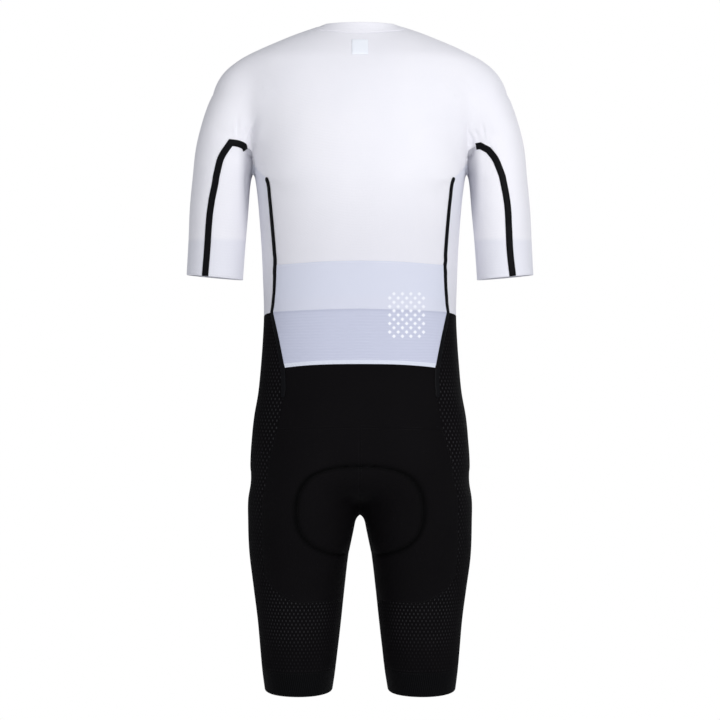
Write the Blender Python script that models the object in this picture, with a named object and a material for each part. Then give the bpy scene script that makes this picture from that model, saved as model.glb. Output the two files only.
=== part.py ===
"""Short-sleeved cycling skinsuit, empty but filled out, as a general figure would hold it.

The frame has +X to the wearer's left, -Y to the front and +Z up, and its origin lies midway between the
shoulders, at the base of the neck. All sizes below are in millimetres. The cloth follows one smooth form,
built from level sections of the trunk, neck, arms and legs. Seams are lines on that form, and each piece
is a wall over a grid of points between its seams. Sizes on the back are given as they look from straight
behind, at the distance VIEW_DISTANCE, measured in the plane y = 0.
"""

import math
from collections import namedtuple

import bmesh
import bpy
import numpy as np
from mathutils import Matrix, Vector

MM = 0.001

WALL = 1.2  # cloth thickness
SEAM_GAP = 0.3  # between two pieces at a seam
LAYER_GAP = 0.35  # between a piece and what lies on it
TAPE_THICK = 1.0
POCKET_THICK = 1.1
PATCH_THICK = 1.0
ZIP_TAPE_THICK = 0.8

VIEW_DISTANCE = 4500.0
VIEW_HEIGHT = -472.5

BACK_TAPE_WIDTH = 5.6
SLEEVE_TAPE_WIDTH = 8.0
BACK_TAPE_TOP = -199.0
BACK_TAPE_END = -528.0
POCKET_MARGIN = BACK_TAPE_WIDTH / 2 + SEAM_GAP
ZIP_OPENING = 4.5  # from the zip's middle to the edge of a front
ZIP_TAPE_WIDTH = 12.0
ZIP_END = -520.0

# ---------------------------------------------------------------- the form

Trunk = namedtuple("Trunk", "z half_width front back roundness")
TRUNK = [
    Trunk(42, 20, -20, 26, 2.0),
    Trunk(28, 60, -32, 38, 2.0),
    Trunk(16, 94, -40, 50, 2.0),
    Trunk(4, 123, -48, 62, 2.0),
    Trunk(-8, 150, -55, 72, 2.0),
    Trunk(-20, 168, -62, 80, 2.1),
    Trunk(-32, 175, -68, 86, 2.1),
    Trunk(-44, 177, -74, 91, 2.1),
    Trunk(-60, 176, -82, 96, 2.2),
    Trunk(-80, 175, -92, 101, 2.2),
    Trunk(-110, 167, -104, 106, 2.3),
    Trunk(-150, 160, -114, 109, 2.4),
    Trunk(-198, 157, -119, 108, 2.4),
    Trunk(-245, 152, -118, 103, 2.4),
    Trunk(-295, 148.5, -114, 95, 2.4),
    Trunk(-345, 146, -110, 88, 2.4),
    Trunk(-395, 144.5, -107, 85, 2.4),
    Trunk(-440, 146, -106, 87, 2.4),
    Trunk(-480, 148.5, -106, 93, 2.4),
    Trunk(-520, 152.5, -105, 101, 2.4),
    Trunk(-560, 159, -103, 109, 2.4),
    Trunk(-600, 161.5, -100, 115, 2.4),
    Trunk(-640, 156, -97, 117, 2.4),
    Trunk(-680, 155, -93, 114, 2.4),
]
TRUNK_CAP = -628.0  # below it the trunk closes in a dome
TRUNK_CAP_DEPTH = 50.0

Limb = namedtuple("Limb", "z x y half_width half_depth")
ARM = [
    Limb(-75, 180, 4, 42, 47),
    Limb(-110, 190.5, 4, 44, 48),
    Limb(-150, 201, 3, 44, 48),
    Limb(-198, 207, 2, 43.5, 48),
    Limb(-245, 211, 0, 44, 48),
    Limb(-295, 214.5, -2, 43, 47),
    Limb(-350, 218, -4, 42.5, 46),
]
ARM_CAP = -92.0
ARM_CAP_HEIGHT = 54.0
ARM_END, ARM_END_DEPTH = -365.0, 30.0

LEG = [
    Limb(-640, 83, 10, 75.5, 104),
    Limb(-680, 85.5, 8, 81.5, 99),
    Limb(-715, 87.5, 5, 80, 93),
    Limb(-763, 91.5, 0, 74.5, 84),
    Limb(-811, 91.5, -4, 68.5, 75),
    Limb(-859, 91, -5, 63, 70),
    Limb(-907, 91.5, -4.5, 58, 66),
    Limb(-940, 92, -4, 54.5, 63),
    Limb(-975, 92.5, -3.5, 49.5, 60),
]
LEG_CAP = -640.0
LEG_CAP_HEIGHT = 60.0

NECK = [
    Limb(60, 0, -6, 54, 51),
    Limb(30, 0, -3, 57, 54),
    Limb(0, 0, -3, 61, 57),
    Limb(-60, 0, -4, 66, 66),
]
NECK_CAP = -60.0
NECK_CAP_DEPTH = 60.0

NECK_BLEND, HIP_BLEND = 22.0, 36.0

Blend = namedtuple("Blend", "z width")
# the fillet is wide over the shoulder and narrow under the arm, and wide above the fork and narrow below it
ARM_BLEND = [Blend(0, 42), Blend(-60, 42), Blend(-140, 28), Blend(-200, 15), Blend(-260, 15)]
LEG_BLEND = [Blend(-660, 44), Blend(-692, 44), Blend(-707, 34), Blend(-721, 13), Blend(-760, 10)]

CARRIED = {}


def carried(rows, name):
    """A dense line, a point for each half millimetre, that joins the rows of a table smoothly."""
    ordered = sorted(rows)
    heights = np.array([row.z for row in ordered], float)
    values = np.array([getattr(row, name) for row in ordered], float)
    slopes = np.gradient(values, heights)
    z = np.arange(heights[0], heights[-1] + 0.25, 0.5)
    low = np.clip(np.searchsorted(heights, z) - 1, 0, len(heights) - 2)
    step = heights[low + 1] - heights[low]
    t = (z - heights[low]) / step
    rise = values[low] * (1 + 2 * t) * (1 - t) ** 2 + values[low + 1] * t**2 * (3 - 2 * t)
    return z, rise + step * (slopes[low] * t * (1 - t) ** 2 - slopes[low + 1] * t**2 * (1 - t))


def column(rows, name, z):
    """The named column of a table of sections at the heights z."""
    key = (id(rows), name)
    if key not in CARRIED:
        CARRIED[key] = carried(rows, name)
    return np.interp(z, *CARRIED[key])


def gap_to_section(x, y, end, half_width, half_depth, roundness=2.0):
    """How far points lie outside a rounded section, roughly. The section shrinks as end goes from 0 to 1."""
    reach = np.abs(x / half_width) ** roundness + np.abs(y / half_depth) ** roundness + end**roundness
    return (reach ** (1 / roundness) - 1) * np.minimum(half_width, half_depth)


def gap_to_limb(rows, x, y, z, end):
    half_width, half_depth = column(rows, "half_width", z), column(rows, "half_depth", z)
    return gap_to_section(x - column(rows, "x", z), y - column(rows, "y", z), end, half_width, half_depth)


def blended(a, b, blend):
    """The union of two forms, with a fillet about as wide as blend."""
    near = np.maximum(blend - np.abs(a - b), 0) / blend
    return np.minimum(a, b) - near**3 * blend / 6


def form(points):
    """Below zero inside the figure, above zero outside it and about zero on the cloth's outer face."""
    x, y, z = points[..., 0], points[..., 1], points[..., 2]
    front, back = column(TRUNK, "front", z), column(TRUNK, "back", z)
    trunk = gap_to_section(
        x,
        y - (front + back) / 2,
        np.maximum(TRUNK_CAP - z, 0) / TRUNK_CAP_DEPTH,
        column(TRUNK, "half_width", z),
        (back - front) / 2,
        column(TRUNK, "roundness", z),
    )
    neck = gap_to_limb(NECK, x, y, z, np.maximum(NECK_CAP - z, 0) / NECK_CAP_DEPTH)
    arm_end = np.maximum(z - ARM_CAP, 0) / ARM_CAP_HEIGHT + np.maximum(ARM_END - z, 0) / ARM_END_DEPTH
    arm = gap_to_limb(ARM, np.abs(x), y, z, arm_end)
    leg_end = np.maximum(z - LEG_CAP, 0) / LEG_CAP_HEIGHT
    legs = blended(
        gap_to_limb(LEG, x, y, z, leg_end), gap_to_limb(LEG, -x, y, z, leg_end), column(LEG_BLEND, "width", z)
    )
    body = blended(blended(trunk, neck, NECK_BLEND), arm, column(ARM_BLEND, "width", z))
    return blended(body, legs, HIP_BLEND)


def slope(points):
    """The gradient of the form at points."""
    step = 0.05
    sides = [form(points + step * axis) - form(points - step * axis) for axis in np.eye(3)]
    return np.stack(sides, axis=-1) / (2 * step)


def outward(points):
    """Unit normals of the form at points."""
    g = slope(points)
    return g / np.linalg.norm(g, axis=-1, keepdims=True)


def onto_form(points, rounds=12):
    """The points moved to the form along its slope."""
    points = np.array(points, float)
    for _ in range(rounds):
        g = slope(points)
        move = form(points)[..., None] * g / np.maximum((g * g).sum(axis=-1, keepdims=True), 0.05)
        points -= np.clip(move, -20, 20)
    return points


def first_on(ray, start, stop, sign=1):
    """Where a ray, a function of how far along it points lie, first meets the form. It starts outside it, or
    inside where sign is -1."""
    reach = np.linspace(start, stop, 300)
    gaps = sign * form(ray(reach))
    met = np.nonzero(gaps < 0)[0]
    if len(met) == 0:
        return onto_form(ray(reach[np.argmin(gaps)]))[0]
    out, into = reach[max(met[0] - 1, 0)], reach[met[0]]
    for _ in range(3):
        reach = np.linspace(out, into, 30)
        met = np.nonzero(sign * form(ray(reach)) < 0)[0]
        out, into = reach[max(met[0] - 1, 0)], reach[met[0]]
    return ray((out + into) / 2)[0]


def straight(start, way, reach):
    return np.asarray(start, float) + np.atleast_1d(reach)[:, None] * np.asarray(way, float)


def rear(x, z):
    """The point of the back that shows at (x, z) in the view from behind."""

    def ray(y):
        y = np.atleast_1d(y)
        nearer = (VIEW_DISTANCE - y) / VIEW_DISTANCE
        return np.stack([x * nearer, y, VIEW_HEIGHT + (z - VIEW_HEIGHT) * nearer], axis=1)

    return first_on(ray, 160, -60)


def fore(x, z):
    """The point of the front straight behind (x, z)."""
    return first_on(lambda y: straight([x, 0, z], [0, 1, 0], y), -160, 60)


def fork(x, y):
    """The point where trunk and arm part, straight above (x, y)."""
    return first_on(lambda z: straight([x, y, 0], [0, 0, 1], z), -260, -120)


def near(x, y, z):
    """The point of the form by (x, y, z)."""
    return onto_form([[x, y, z]])[0]


def around(centre_x, centre_y, angle, z):
    """The point of a tube's wall in the direction angle, in degrees from +X towards +Y, at the height z."""
    c, s = math.cos(math.radians(angle)), math.sin(math.radians(angle))
    return first_on(lambda r: straight([centre_x, centre_y, z], [c, s, 0], r), 0, 110, sign=-1)


# ---------------------------------------------------------------- lines and grids


def line(points, count):
    """A smooth line on the form through points, in count even steps. Its ends stay where they are."""
    points = [np.asarray(p, float) for p in points]
    ahead = 2 * points[0] - points[1]
    beyond = 2 * points[-1] - points[-2]
    chain = [ahead, *points, beyond]
    dense = []
    for a, b, c, d in zip(chain, chain[1:], chain[2:], chain[3:]):
        for t in np.linspace(0, 1, 24, endpoint=False):
            curve = (2 * a - 5 * b + 4 * c - d) * t**2 + (3 * b - a - 3 * c + d) * t**3
            dense.append(0.5 * (2 * b + (c - a) * t + curve))
    dense.append(points[-1])
    dense = onto_form(dense)
    spaced = evenly(dense, np.linspace(0, 1, count + 1))
    spaced = onto_form(spaced)
    spaced[0], spaced[-1] = points[0], points[-1]
    return spaced


def evenly(dense, shares):
    """Points of a dense line at the given shares of its length."""
    steps = np.linalg.norm(np.diff(dense, axis=0), axis=1)
    length = np.concatenate([[0], np.cumsum(steps)])
    reach = np.asarray(shares) * length[-1]
    return np.stack([np.interp(reach, length, dense[:, k]) for k in range(3)], axis=1)


def grid(top, bottom, left, right):
    """A grid of points on the form between four lines. Its rows run from left to right."""
    across = np.linspace(0, 1, len(top))[None, :, None]
    down = np.linspace(0, 1, len(left))[:, None, None]
    corners = (1 - down) * ((1 - across) * top[0] + across * top[-1])
    corners += down * ((1 - across) * bottom[0] + across * bottom[-1])
    points = (1 - down) * top + down * bottom + (1 - across) * left[:, None]
    points += across * right[:, None] - corners
    edge = points.copy()
    for _ in range(4):
        points = onto_form(points, 6)
        points[1:-1, 1:-1] = (
            points[:-2, 1:-1] + points[2:, 1:-1] + points[1:-1, :-2] + points[1:-1, 2:]
        ) / 4 * 0.5 + points[1:-1, 1:-1] * 0.5
        points[0], points[-1], points[:, 0], points[:, -1] = edge[0], edge[-1], edge[:, 0], edge[:, -1]
    points[1:-1, 1:-1] = onto_form(points[1:-1, 1:-1], 8)
    return points


def stacked(*grids):
    """Grids that follow each other downwards, as one."""
    return np.concatenate([grids[0], *[g[1:] for g in grids[1:]]], axis=0)


def beside(*grids):
    """Grids that follow each other across, as one."""
    return np.concatenate([grids[0], *[g[:, 1:] for g in grids[1:]]], axis=1)


def mirrored(points):
    return points * np.array([-1.0, 1.0, 1.0])


# ---------------------------------------------------------------- seams of the wearer's left side

BACK, SIDE, FRONT = 6, 5, 5  # steps across each part of the trunk
OVER = (2, 2, 4)  # steps over the arm: crease to tape, tape to crown, crown to raglan seam
TO_KINK, TO_ARMPIT, TO_CUFF = 6, 2, 5  # steps down
TO_POCKET, TO_BELT = 5, 3
TO_TAIL, POCKET_BODY, POCKET_EDGE, YOKE = 2, 1, 1, 3
BELOW_BELT = TO_TAIL + POCKET_BODY + POCKET_EDGE + YOKE
TO_CROTCH, TO_SEAT_EDGE, TO_BAND, BAND = 6, 4, 3, 2

NeckPoint = namedtuple("NeckPoint", "z seam top")  # z holds the angle
NECK_LINE = [
    NeckPoint(-90, 25, 31),
    NeckPoint(-54, 18, 29.5),
    NeckPoint(0, 12.5, 29),
    NeckPoint(54, 18, 29.5),
    NeckPoint(90, 25, 31),
    NeckPoint(126, -2, 14),
    NeckPoint(155, -36, -18),
    NeckPoint(180, -48, -30),
    NeckPoint(205, -36, -18),
]
NECK_MIDDLE, NECK_DEPTH = -3.0, 58.0


def neck_height(name, angle):
    return float(np.interp(angle, *carried(NECK_LINE, name)))


def neck_point(name, angle):
    """A point of the collar's seam or top, at an angle from the centre back round to the centre front."""
    turn = math.radians(angle)
    way = [math.sin(turn), math.cos(turn), 0]
    middle = [0, NECK_MIDDLE, neck_height(name, angle)]
    return first_on(lambda r: straight(middle, way, r), 20, 140, sign=-1)


ZIP_ANGLE = 180 - math.degrees(math.atan(ZIP_OPENING / NECK_DEPTH))
NECK_STOPS = [0, 54, 72, 90, 126, ZIP_ANGLE]
NECK_STEPS = [BACK, *OVER, FRONT]


def neck_run(name, part):
    """The collar's seam or top between two of the NECK_STOPS."""
    angles = np.linspace(NECK_STOPS[part], NECK_STOPS[part + 1], NECK_STEPS[part] + 1)
    return np.array([neck_point(name, a) for a in angles])


NECK_SEAM = [neck_run("seam", part) for part in range(5)]
NECK_TOP = [neck_run("top", part) for part in range(5)]
N_CB, N_CREASE, N_TAPE, N_CROWN, N_RAGLAN = (run[0] for run in NECK_SEAM)
N_CF = NECK_SEAM[4][-1]

# armhole, crease and underarm
TAPE_START = rear(172.5, -152)
TAPE_KINK = rear(194, -149)
CROWN_KINK = near(243, 0, -146)
RAGLAN_KINK = fore(161, -138)
BACK_KINK = rear(0, -150)
FRONT_KINK = fore(ZIP_OPENING, -150)
ARMPIT_BACK = fork(160.5, 18)
ARMPIT_FRONT = fork(161, -15)
UNDERARM = fork(160.5, 0)
TAPE_ARMPIT = rear(215, -197)
CROWN_ARMPIT = near(250.5, 0, -192)
BACK_ARMPIT = rear(0, -200)
FRONT_ARMPIT = fore(ZIP_OPENING, -205)

CREASE_UPPER = line([N_CREASE, rear(104, -30), rear(146, -86), TAPE_START], TO_KINK)
CREASE_LOWER = line([TAPE_START, fork(161.5, 28), ARMPIT_BACK], TO_ARMPIT)
TAPE_UPPER = line([N_TAPE, rear(122, -24), rear(172, -72), TAPE_KINK], TO_KINK)
TAPE_LOWER = line([TAPE_KINK, rear(206.6, -172.5), TAPE_ARMPIT], TO_ARMPIT)
CROWN_UPPER = line(
    [N_CROWN, near(122, 3, 4), near(175, 3, -20), near(213, 2, -56), near(232, 1, -100), CROWN_KINK], TO_KINK
)
CROWN_LOWER = line([CROWN_KINK, CROWN_ARMPIT], TO_ARMPIT)
RAGLAN_UPPER = line([N_RAGLAN, fore(82, -32), fore(126, -84), RAGLAN_KINK], TO_KINK)
RAGLAN_LOWER = line([RAGLAN_KINK, fork(161, -27), ARMPIT_FRONT], TO_ARMPIT)
CENTRE_BACK_UPPER = line([N_CB, rear(0, -60), BACK_KINK], TO_KINK)
CENTRE_BACK_LOWER = line([BACK_KINK, BACK_ARMPIT], TO_ARMPIT)
CENTRE_FRONT_UPPER = line([N_CF, fore(ZIP_OPENING, -95), FRONT_KINK], TO_KINK)
CENTRE_FRONT_LOWER = line([FRONT_KINK, FRONT_ARMPIT], TO_ARMPIT)

KINK_ROW = [
    line([BACK_KINK, rear(95, -151), TAPE_START], BACK),
    line([TAPE_START, TAPE_KINK], OVER[0]),
    line([TAPE_KINK, near(232, 30, -147), CROWN_KINK], OVER[1]),
    line([CROWN_KINK, near(228, -35, -148), near(195, -48, -150), RAGLAN_KINK], OVER[2]),
    line([RAGLAN_KINK, fore(100, -150), FRONT_KINK], FRONT),
]
ARMPIT_ROW = [
    line([BACK_ARMPIT, rear(95, -201), rear(138, -199), ARMPIT_BACK], BACK),
    line([ARMPIT_BACK, near(182, 42, -195), TAPE_ARMPIT], OVER[0]),
    line([TAPE_ARMPIT, near(240, 30, -194), CROWN_ARMPIT], OVER[1]),
    line([CROWN_ARMPIT, near(235, -35, -194), near(195, -46, -196), ARMPIT_FRONT], OVER[2]),
    line([ARMPIT_FRONT, fore(138, -202), fore(80, -205), FRONT_ARMPIT], FRONT),
]
UNDERARM_ROW = line([ARMPIT_BACK, fork(160.5, 9), UNDERARM, fork(160.6, -8), ARMPIT_FRONT], SIDE)

# cuff, which dips towards the body
CUFF_OUTER, CUFF_INNER = (259.5, -345.0), (177.0, -352.5)
CUFF_CENTRE = (217.6, -4.0)


def cuff_point(angle):
    z = CUFF_OUTER[1]
    for _ in range(3):
        point = around(*CUFF_CENTRE, angle, z)
        share = (CUFF_OUTER[0] - point[0]) / (CUFF_OUTER[0] - CUFF_INNER[0])
        z = CUFF_OUTER[1] + share * (CUFF_INNER[1] - CUFF_OUTER[1])
    return around(*CUFF_CENTRE, angle, z)


def cuff_run(start, stop, count):
    return np.array([cuff_point(a) for a in np.linspace(start, stop, count + 1)])


CUFF_CREASE, CUFF_TAPE, CUFF_CROWN, CUFF_FRONT = 150, 74, 0, -145
CUFF = [
    cuff_run(CUFF_CREASE, CUFF_TAPE, OVER[0]),
    cuff_run(CUFF_TAPE, CUFF_CROWN, OVER[1]),
    cuff_run(CUFF_CROWN, CUFF_FRONT, OVER[2]),
]
CUFF_UNDER = cuff_run(CUFF_CREASE, 360 + CUFF_FRONT, SIDE)
SLEEVE_CREASE = line([ARMPIT_BACK, near(172, 22, -215), near(176, 22, -280), CUFF[0][0]], TO_CUFF)
SLEEVE_TAPE_LINE = line(
    [TAPE_ARMPIT, rear(221.6, -232.5), rear(224.5, -274), rear(227, -312), CUFF[1][0]], TO_CUFF
)
SLEEVE_CROWN = line([CROWN_ARMPIT, near(256, 0, -270), CUFF[2][0]], TO_CUFF)
SLEEVE_FRONT = line([ARMPIT_FRONT, near(173, -24, -218), near(178, -28, -280), CUFF[2][-1]], TO_CUFF)

# trunk, from the armpit to the crotch
POCKET_TOP_SIDE, BELT_BACK = rear(126.75, -330), rear(132, -401)
FRONT_POCKET_LEVEL, BELT_FRONT = fore(127, -330), fore(128, -405)
TAIL_SIDE, EDGE_TOP_SIDE, EDGE_SIDE = rear(123, -446), rear(117, -478.5), rear(115.5, -484.5)
YOKE_BACK, YOKE_FRONT = rear(125, -578), fore(122, -575)
CROTCH = near(0, 4, -704)
CROTCH_BACK, CROTCH_FRONT = rear(147, -720), fore(133, -715)

BACK_SIDE_UPPER = line(
    [
        ARMPIT_BACK,
        near(150, 38, -188),
        rear(139.5, -202),
        rear(134.6, -232.5),
        rear(130.5, -268),
        rear(127, -305),
        POCKET_TOP_SIDE,
    ],
    TO_POCKET,
)
BACK_SIDE_POCKET = line([POCKET_TOP_SIDE, rear(128.6, -370), BELT_BACK], TO_BELT)
BACK_SIDE_BELOW = np.concatenate(
    [
        line([BELT_BACK, TAIL_SIDE], TO_TAIL),
        line([TAIL_SIDE, EDGE_TOP_SIDE], POCKET_BODY)[1:],
        line([EDGE_TOP_SIDE, EDGE_SIDE], POCKET_EDGE)[1:],
        line([EDGE_SIDE, rear(115, -510), rear(117.5, -540), YOKE_BACK], YOKE)[1:],
    ]
)
BACK_SIDE_SEAT = line([YOKE_BACK, rear(140.3, -633), rear(146.5, -685), CROTCH_BACK], TO_CROTCH)
FRONT_SIDE_UPPER = line(
    [ARMPIT_FRONT, near(150, -40, -196), fore(138, -218), fore(131, -260), FRONT_POCKET_LEVEL], TO_POCKET
)
FRONT_SIDE_POCKET = line([FRONT_POCKET_LEVEL, BELT_FRONT], TO_BELT)
BELOW_SHARES = np.concatenate(
    [[0], np.cumsum(np.linalg.norm(np.diff(BACK_SIDE_BELOW, axis=0), axis=1))]
)
BELOW_SHARES = BELOW_SHARES / BELOW_SHARES[-1]


def spaced_like_back(points):
    """A line on the form whose points are spaced as those of the back side seam below the belt."""
    spaced = onto_form(evenly(line(points, 60), BELOW_SHARES))
    spaced[0], spaced[-1] = points[0], points[-1]
    return spaced


FRONT_SIDE_BELOW = spaced_like_back([BELT_FRONT, fore(122, -480), YOKE_FRONT])
FRONT_SIDE_SEAT = line([YOKE_FRONT, fore(128, -640), CROTCH_FRONT], TO_CROTCH)

POCKET_TOP_ROW = line([rear(0, -323.2), rear(64, -325.2), POCKET_TOP_SIDE], BACK)
BELT_ROW_BACK = line([rear(0, -395.4), rear(68, -397.2), BELT_BACK], BACK)
BELT_ROW_SIDE = line([BELT_BACK, near(144.7, -10, -406.5), BELT_FRONT], SIDE)
BELT_ROW_FRONT = line([BELT_FRONT, fore(70, -405), fore(ZIP_OPENING, -405)], FRONT)
TAIL_ROW = line([rear(0, -441), rear(62, -442.5), TAIL_SIDE], BACK)
EDGE_TOP_ROW = line([rear(0, -472.5), rear(60, -473.5), rear(100, -476.5), EDGE_TOP_SIDE], BACK)
EDGE_ROW = line([rear(0, -478.5), rear(60, -479.5), rear(100, -482.5), EDGE_SIDE], BACK)
YOKE_ROW_BACK = line([rear(0, -573), rear(62, -574.5), YOKE_BACK], BACK)
YOKE_ROW_SIDE = line([YOKE_BACK, near(160, 0, -577), YOKE_FRONT], SIDE)
YOKE_ROW_FRONT = line([YOKE_FRONT, fore(62, -575), fore(0, -575)], FRONT)
CROTCH_ROW_BACK = line([CROTCH, near(20, 42, -700), near(62, 80, -712), rear(110, -718), CROTCH_BACK], BACK)
CROTCH_ROW_SIDE = line([CROTCH_BACK, near(167, 0, -718), CROTCH_FRONT], SIDE)
CROTCH_ROW_FRONT = line(
    [CROTCH_FRONT, fore(100, -712), near(60, -74, -708), near(20, -38, -698), CROTCH], FRONT
)

CENTRE_BACK_POCKET = line([BACK_ARMPIT, rear(0, -262), POCKET_TOP_ROW[0]], TO_POCKET)
CENTRE_BACK_BELT = line([POCKET_TOP_ROW[0], BELT_ROW_BACK[0]], TO_BELT)
CENTRE_BACK_TAIL = line([BELT_ROW_BACK[0], TAIL_ROW[0]], TO_TAIL)
CENTRE_BACK_YOKE = line([EDGE_ROW[0], rear(0, -525), YOKE_ROW_BACK[0]], YOKE)
CENTRE_BACK_SEAT = line(
    [YOKE_ROW_BACK[0], rear(0, -620), near(0, 108, -655), near(0, 70, -680), CROTCH], TO_CROTCH
)
CENTRE_FRONT_POCKET = line([FRONT_ARMPIT, fore(ZIP_OPENING, -330)], TO_POCKET)
CENTRE_FRONT_BELT = line([CENTRE_FRONT_POCKET[-1], BELT_ROW_FRONT[-1]], TO_BELT)
ZIP_STEPS = BELOW_BELT - 2
CENTRE_FRONT_BELOW = np.concatenate(
    [
        line([BELT_ROW_FRONT[-1], fore(ZIP_OPENING, ZIP_END)], ZIP_STEPS),
        line([fore(0, ZIP_END - 14), YOKE_ROW_FRONT[-1]], BELOW_BELT - ZIP_STEPS - 1),
    ]
)
CENTRE_FRONT_SEAT = line([YOKE_ROW_FRONT[-1], near(0, -94, -640), near(0, -60, -680), CROTCH], TO_CROTCH)

# legs
LEG_CENTRE = (92.0, -4.0)
INNER_SEAT_EDGE = near(27, -4, -829.5)
SEAT_EDGE_SIDE, SEAT_EDGE_FRONT = rear(143.5, -797), fore(131, -802)
INNER_LEG_UPPER = line([CROTCH, near(7, 0, -716), near(14, -2, -762), INNER_SEAT_EDGE], TO_SEAT_EDGE)
BACK_SIDE_THIGH = line([CROTCH_BACK, rear(147, -750), SEAT_EDGE_SIDE], TO_SEAT_EDGE)
FRONT_SIDE_THIGH = line([CROTCH_FRONT, SEAT_EDGE_FRONT], TO_SEAT_EDGE)
SEAT_EDGE_BACK = line(
    [INNER_SEAT_EDGE, near(44, 52, -832), rear(66, -837), rear(99, -836), rear(131, -815), SEAT_EDGE_SIDE],
    BACK,
)
SEAT_ROW_SIDE = line([SEAT_EDGE_SIDE, near(159, -2, -800), SEAT_EDGE_FRONT], SIDE)
SEAT_ROW_FRONT = line([SEAT_EDGE_FRONT, fore(92, -818), near(44, -58, -828), INNER_SEAT_EDGE], FRONT)
BAND_STOPS = [180, 50, -50, -180]
BAND_STEPS = [BACK, SIDE, FRONT]
BAND_TOP, HEM = -930.0, -966.0
HEM_DIP = 6.0  # the hem is lower at the back


def leg_run(level, part):
    angles = np.linspace(BAND_STOPS[part], BAND_STOPS[part + 1], BAND_STEPS[part] + 1)
    dips = HEM_DIP * np.maximum(np.sin(np.radians(angles)), 0)
    return np.array([around(*LEG_CENTRE, a, level - dip) for a, dip in zip(angles, dips)])


BAND_ROW = [leg_run(BAND_TOP, part) for part in range(3)]
HEM_ROW = [leg_run(HEM, part) for part in range(3)]
INNER_LEG_LOWER = line([INNER_SEAT_EDGE, BAND_ROW[0][0]], TO_BAND)
BACK_SIDE_KNEE = line([SEAT_EDGE_SIDE, BAND_ROW[1][0]], TO_BAND)
FRONT_SIDE_KNEE = line([SEAT_EDGE_FRONT, BAND_ROW[2][0]], TO_BAND)
BAND_SIDES = [line([BAND_ROW[part][0], HEM_ROW[part][0]], BAND) for part in range(3)]

# ---------------------------------------------------------------- grids of the wearer's left side

SHOULDER_GRIDS = [
    grid(NECK_SEAM[0], KINK_ROW[0], CENTRE_BACK_UPPER, CREASE_UPPER),
    grid(NECK_SEAM[1], KINK_ROW[1], CREASE_UPPER, TAPE_UPPER),
    grid(NECK_SEAM[2], KINK_ROW[2], TAPE_UPPER, CROWN_UPPER),
    grid(NECK_SEAM[3], KINK_ROW[3], CROWN_UPPER, RAGLAN_UPPER),
    grid(NECK_SEAM[4], KINK_ROW[4], RAGLAN_UPPER, CENTRE_FRONT_UPPER),
]
ARMHOLE_GRIDS = [
    grid(KINK_ROW[0], ARMPIT_ROW[0], CENTRE_BACK_LOWER, CREASE_LOWER),
    grid(KINK_ROW[1], ARMPIT_ROW[1], CREASE_LOWER, TAPE_LOWER),
    grid(KINK_ROW[2], ARMPIT_ROW[2], TAPE_LOWER, CROWN_LOWER),
    grid(KINK_ROW[3], ARMPIT_ROW[3], CROWN_LOWER, RAGLAN_LOWER),
    grid(KINK_ROW[4], ARMPIT_ROW[4], RAGLAN_LOWER, CENTRE_FRONT_LOWER),
]
SLEEVE_GRIDS = [
    grid(ARMPIT_ROW[1], CUFF[0], SLEEVE_CREASE, SLEEVE_TAPE_LINE),
    grid(ARMPIT_ROW[2], CUFF[1], SLEEVE_TAPE_LINE, SLEEVE_CROWN),
    grid(ARMPIT_ROW[3], CUFF[2], SLEEVE_CROWN, SLEEVE_FRONT),
]
SLEEVE_UNDER = grid(UNDERARM_ROW, CUFF_UNDER, SLEEVE_CREASE, SLEEVE_FRONT)

BACK_ABOVE_POCKET = grid(ARMPIT_ROW[0], POCKET_TOP_ROW, CENTRE_BACK_POCKET, BACK_SIDE_UPPER)
BACK_UPPER_POCKET = grid(POCKET_TOP_ROW, BELT_ROW_BACK, CENTRE_BACK_BELT, BACK_SIDE_POCKET)
BACK_TAIL = grid(BELT_ROW_BACK, TAIL_ROW, CENTRE_BACK_TAIL, BACK_SIDE_BELOW[: TO_TAIL + 1])
YOKE_TOP = np.stack([TAIL_ROW, EDGE_TOP_ROW])
YOKE_EDGE = np.stack([EDGE_TOP_ROW, EDGE_ROW])
YOKE_BODY = grid(EDGE_ROW, YOKE_ROW_BACK, CENTRE_BACK_YOKE, BACK_SIDE_BELOW[-YOKE - 1 :])

POCKET_ROW_SIDE = line([POCKET_TOP_SIDE, near(145, -10, -332), FRONT_POCKET_LEVEL], SIDE)
POCKET_ROW_FRONT = line([FRONT_POCKET_LEVEL, fore(66, -330), CENTRE_FRONT_POCKET[-1]], FRONT)
SIDE_UPPER = stacked(
    grid(UNDERARM_ROW, POCKET_ROW_SIDE, BACK_SIDE_UPPER, FRONT_SIDE_UPPER),
    grid(POCKET_ROW_SIDE, BELT_ROW_SIDE, BACK_SIDE_POCKET, FRONT_SIDE_POCKET),
)
FRONT_UPPER = stacked(
    SHOULDER_GRIDS[4],
    ARMHOLE_GRIDS[4],
    grid(ARMPIT_ROW[4], POCKET_ROW_FRONT, FRONT_SIDE_UPPER, CENTRE_FRONT_POCKET),
    grid(POCKET_ROW_FRONT, BELT_ROW_FRONT, FRONT_SIDE_POCKET, CENTRE_FRONT_BELT),
)
SEAT = stacked(
    grid(YOKE_ROW_BACK, CROTCH_ROW_BACK, CENTRE_BACK_SEAT, BACK_SIDE_SEAT),
    grid(CROTCH_ROW_BACK, SEAT_EDGE_BACK, INNER_LEG_UPPER, BACK_SIDE_THIGH),
)
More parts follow.
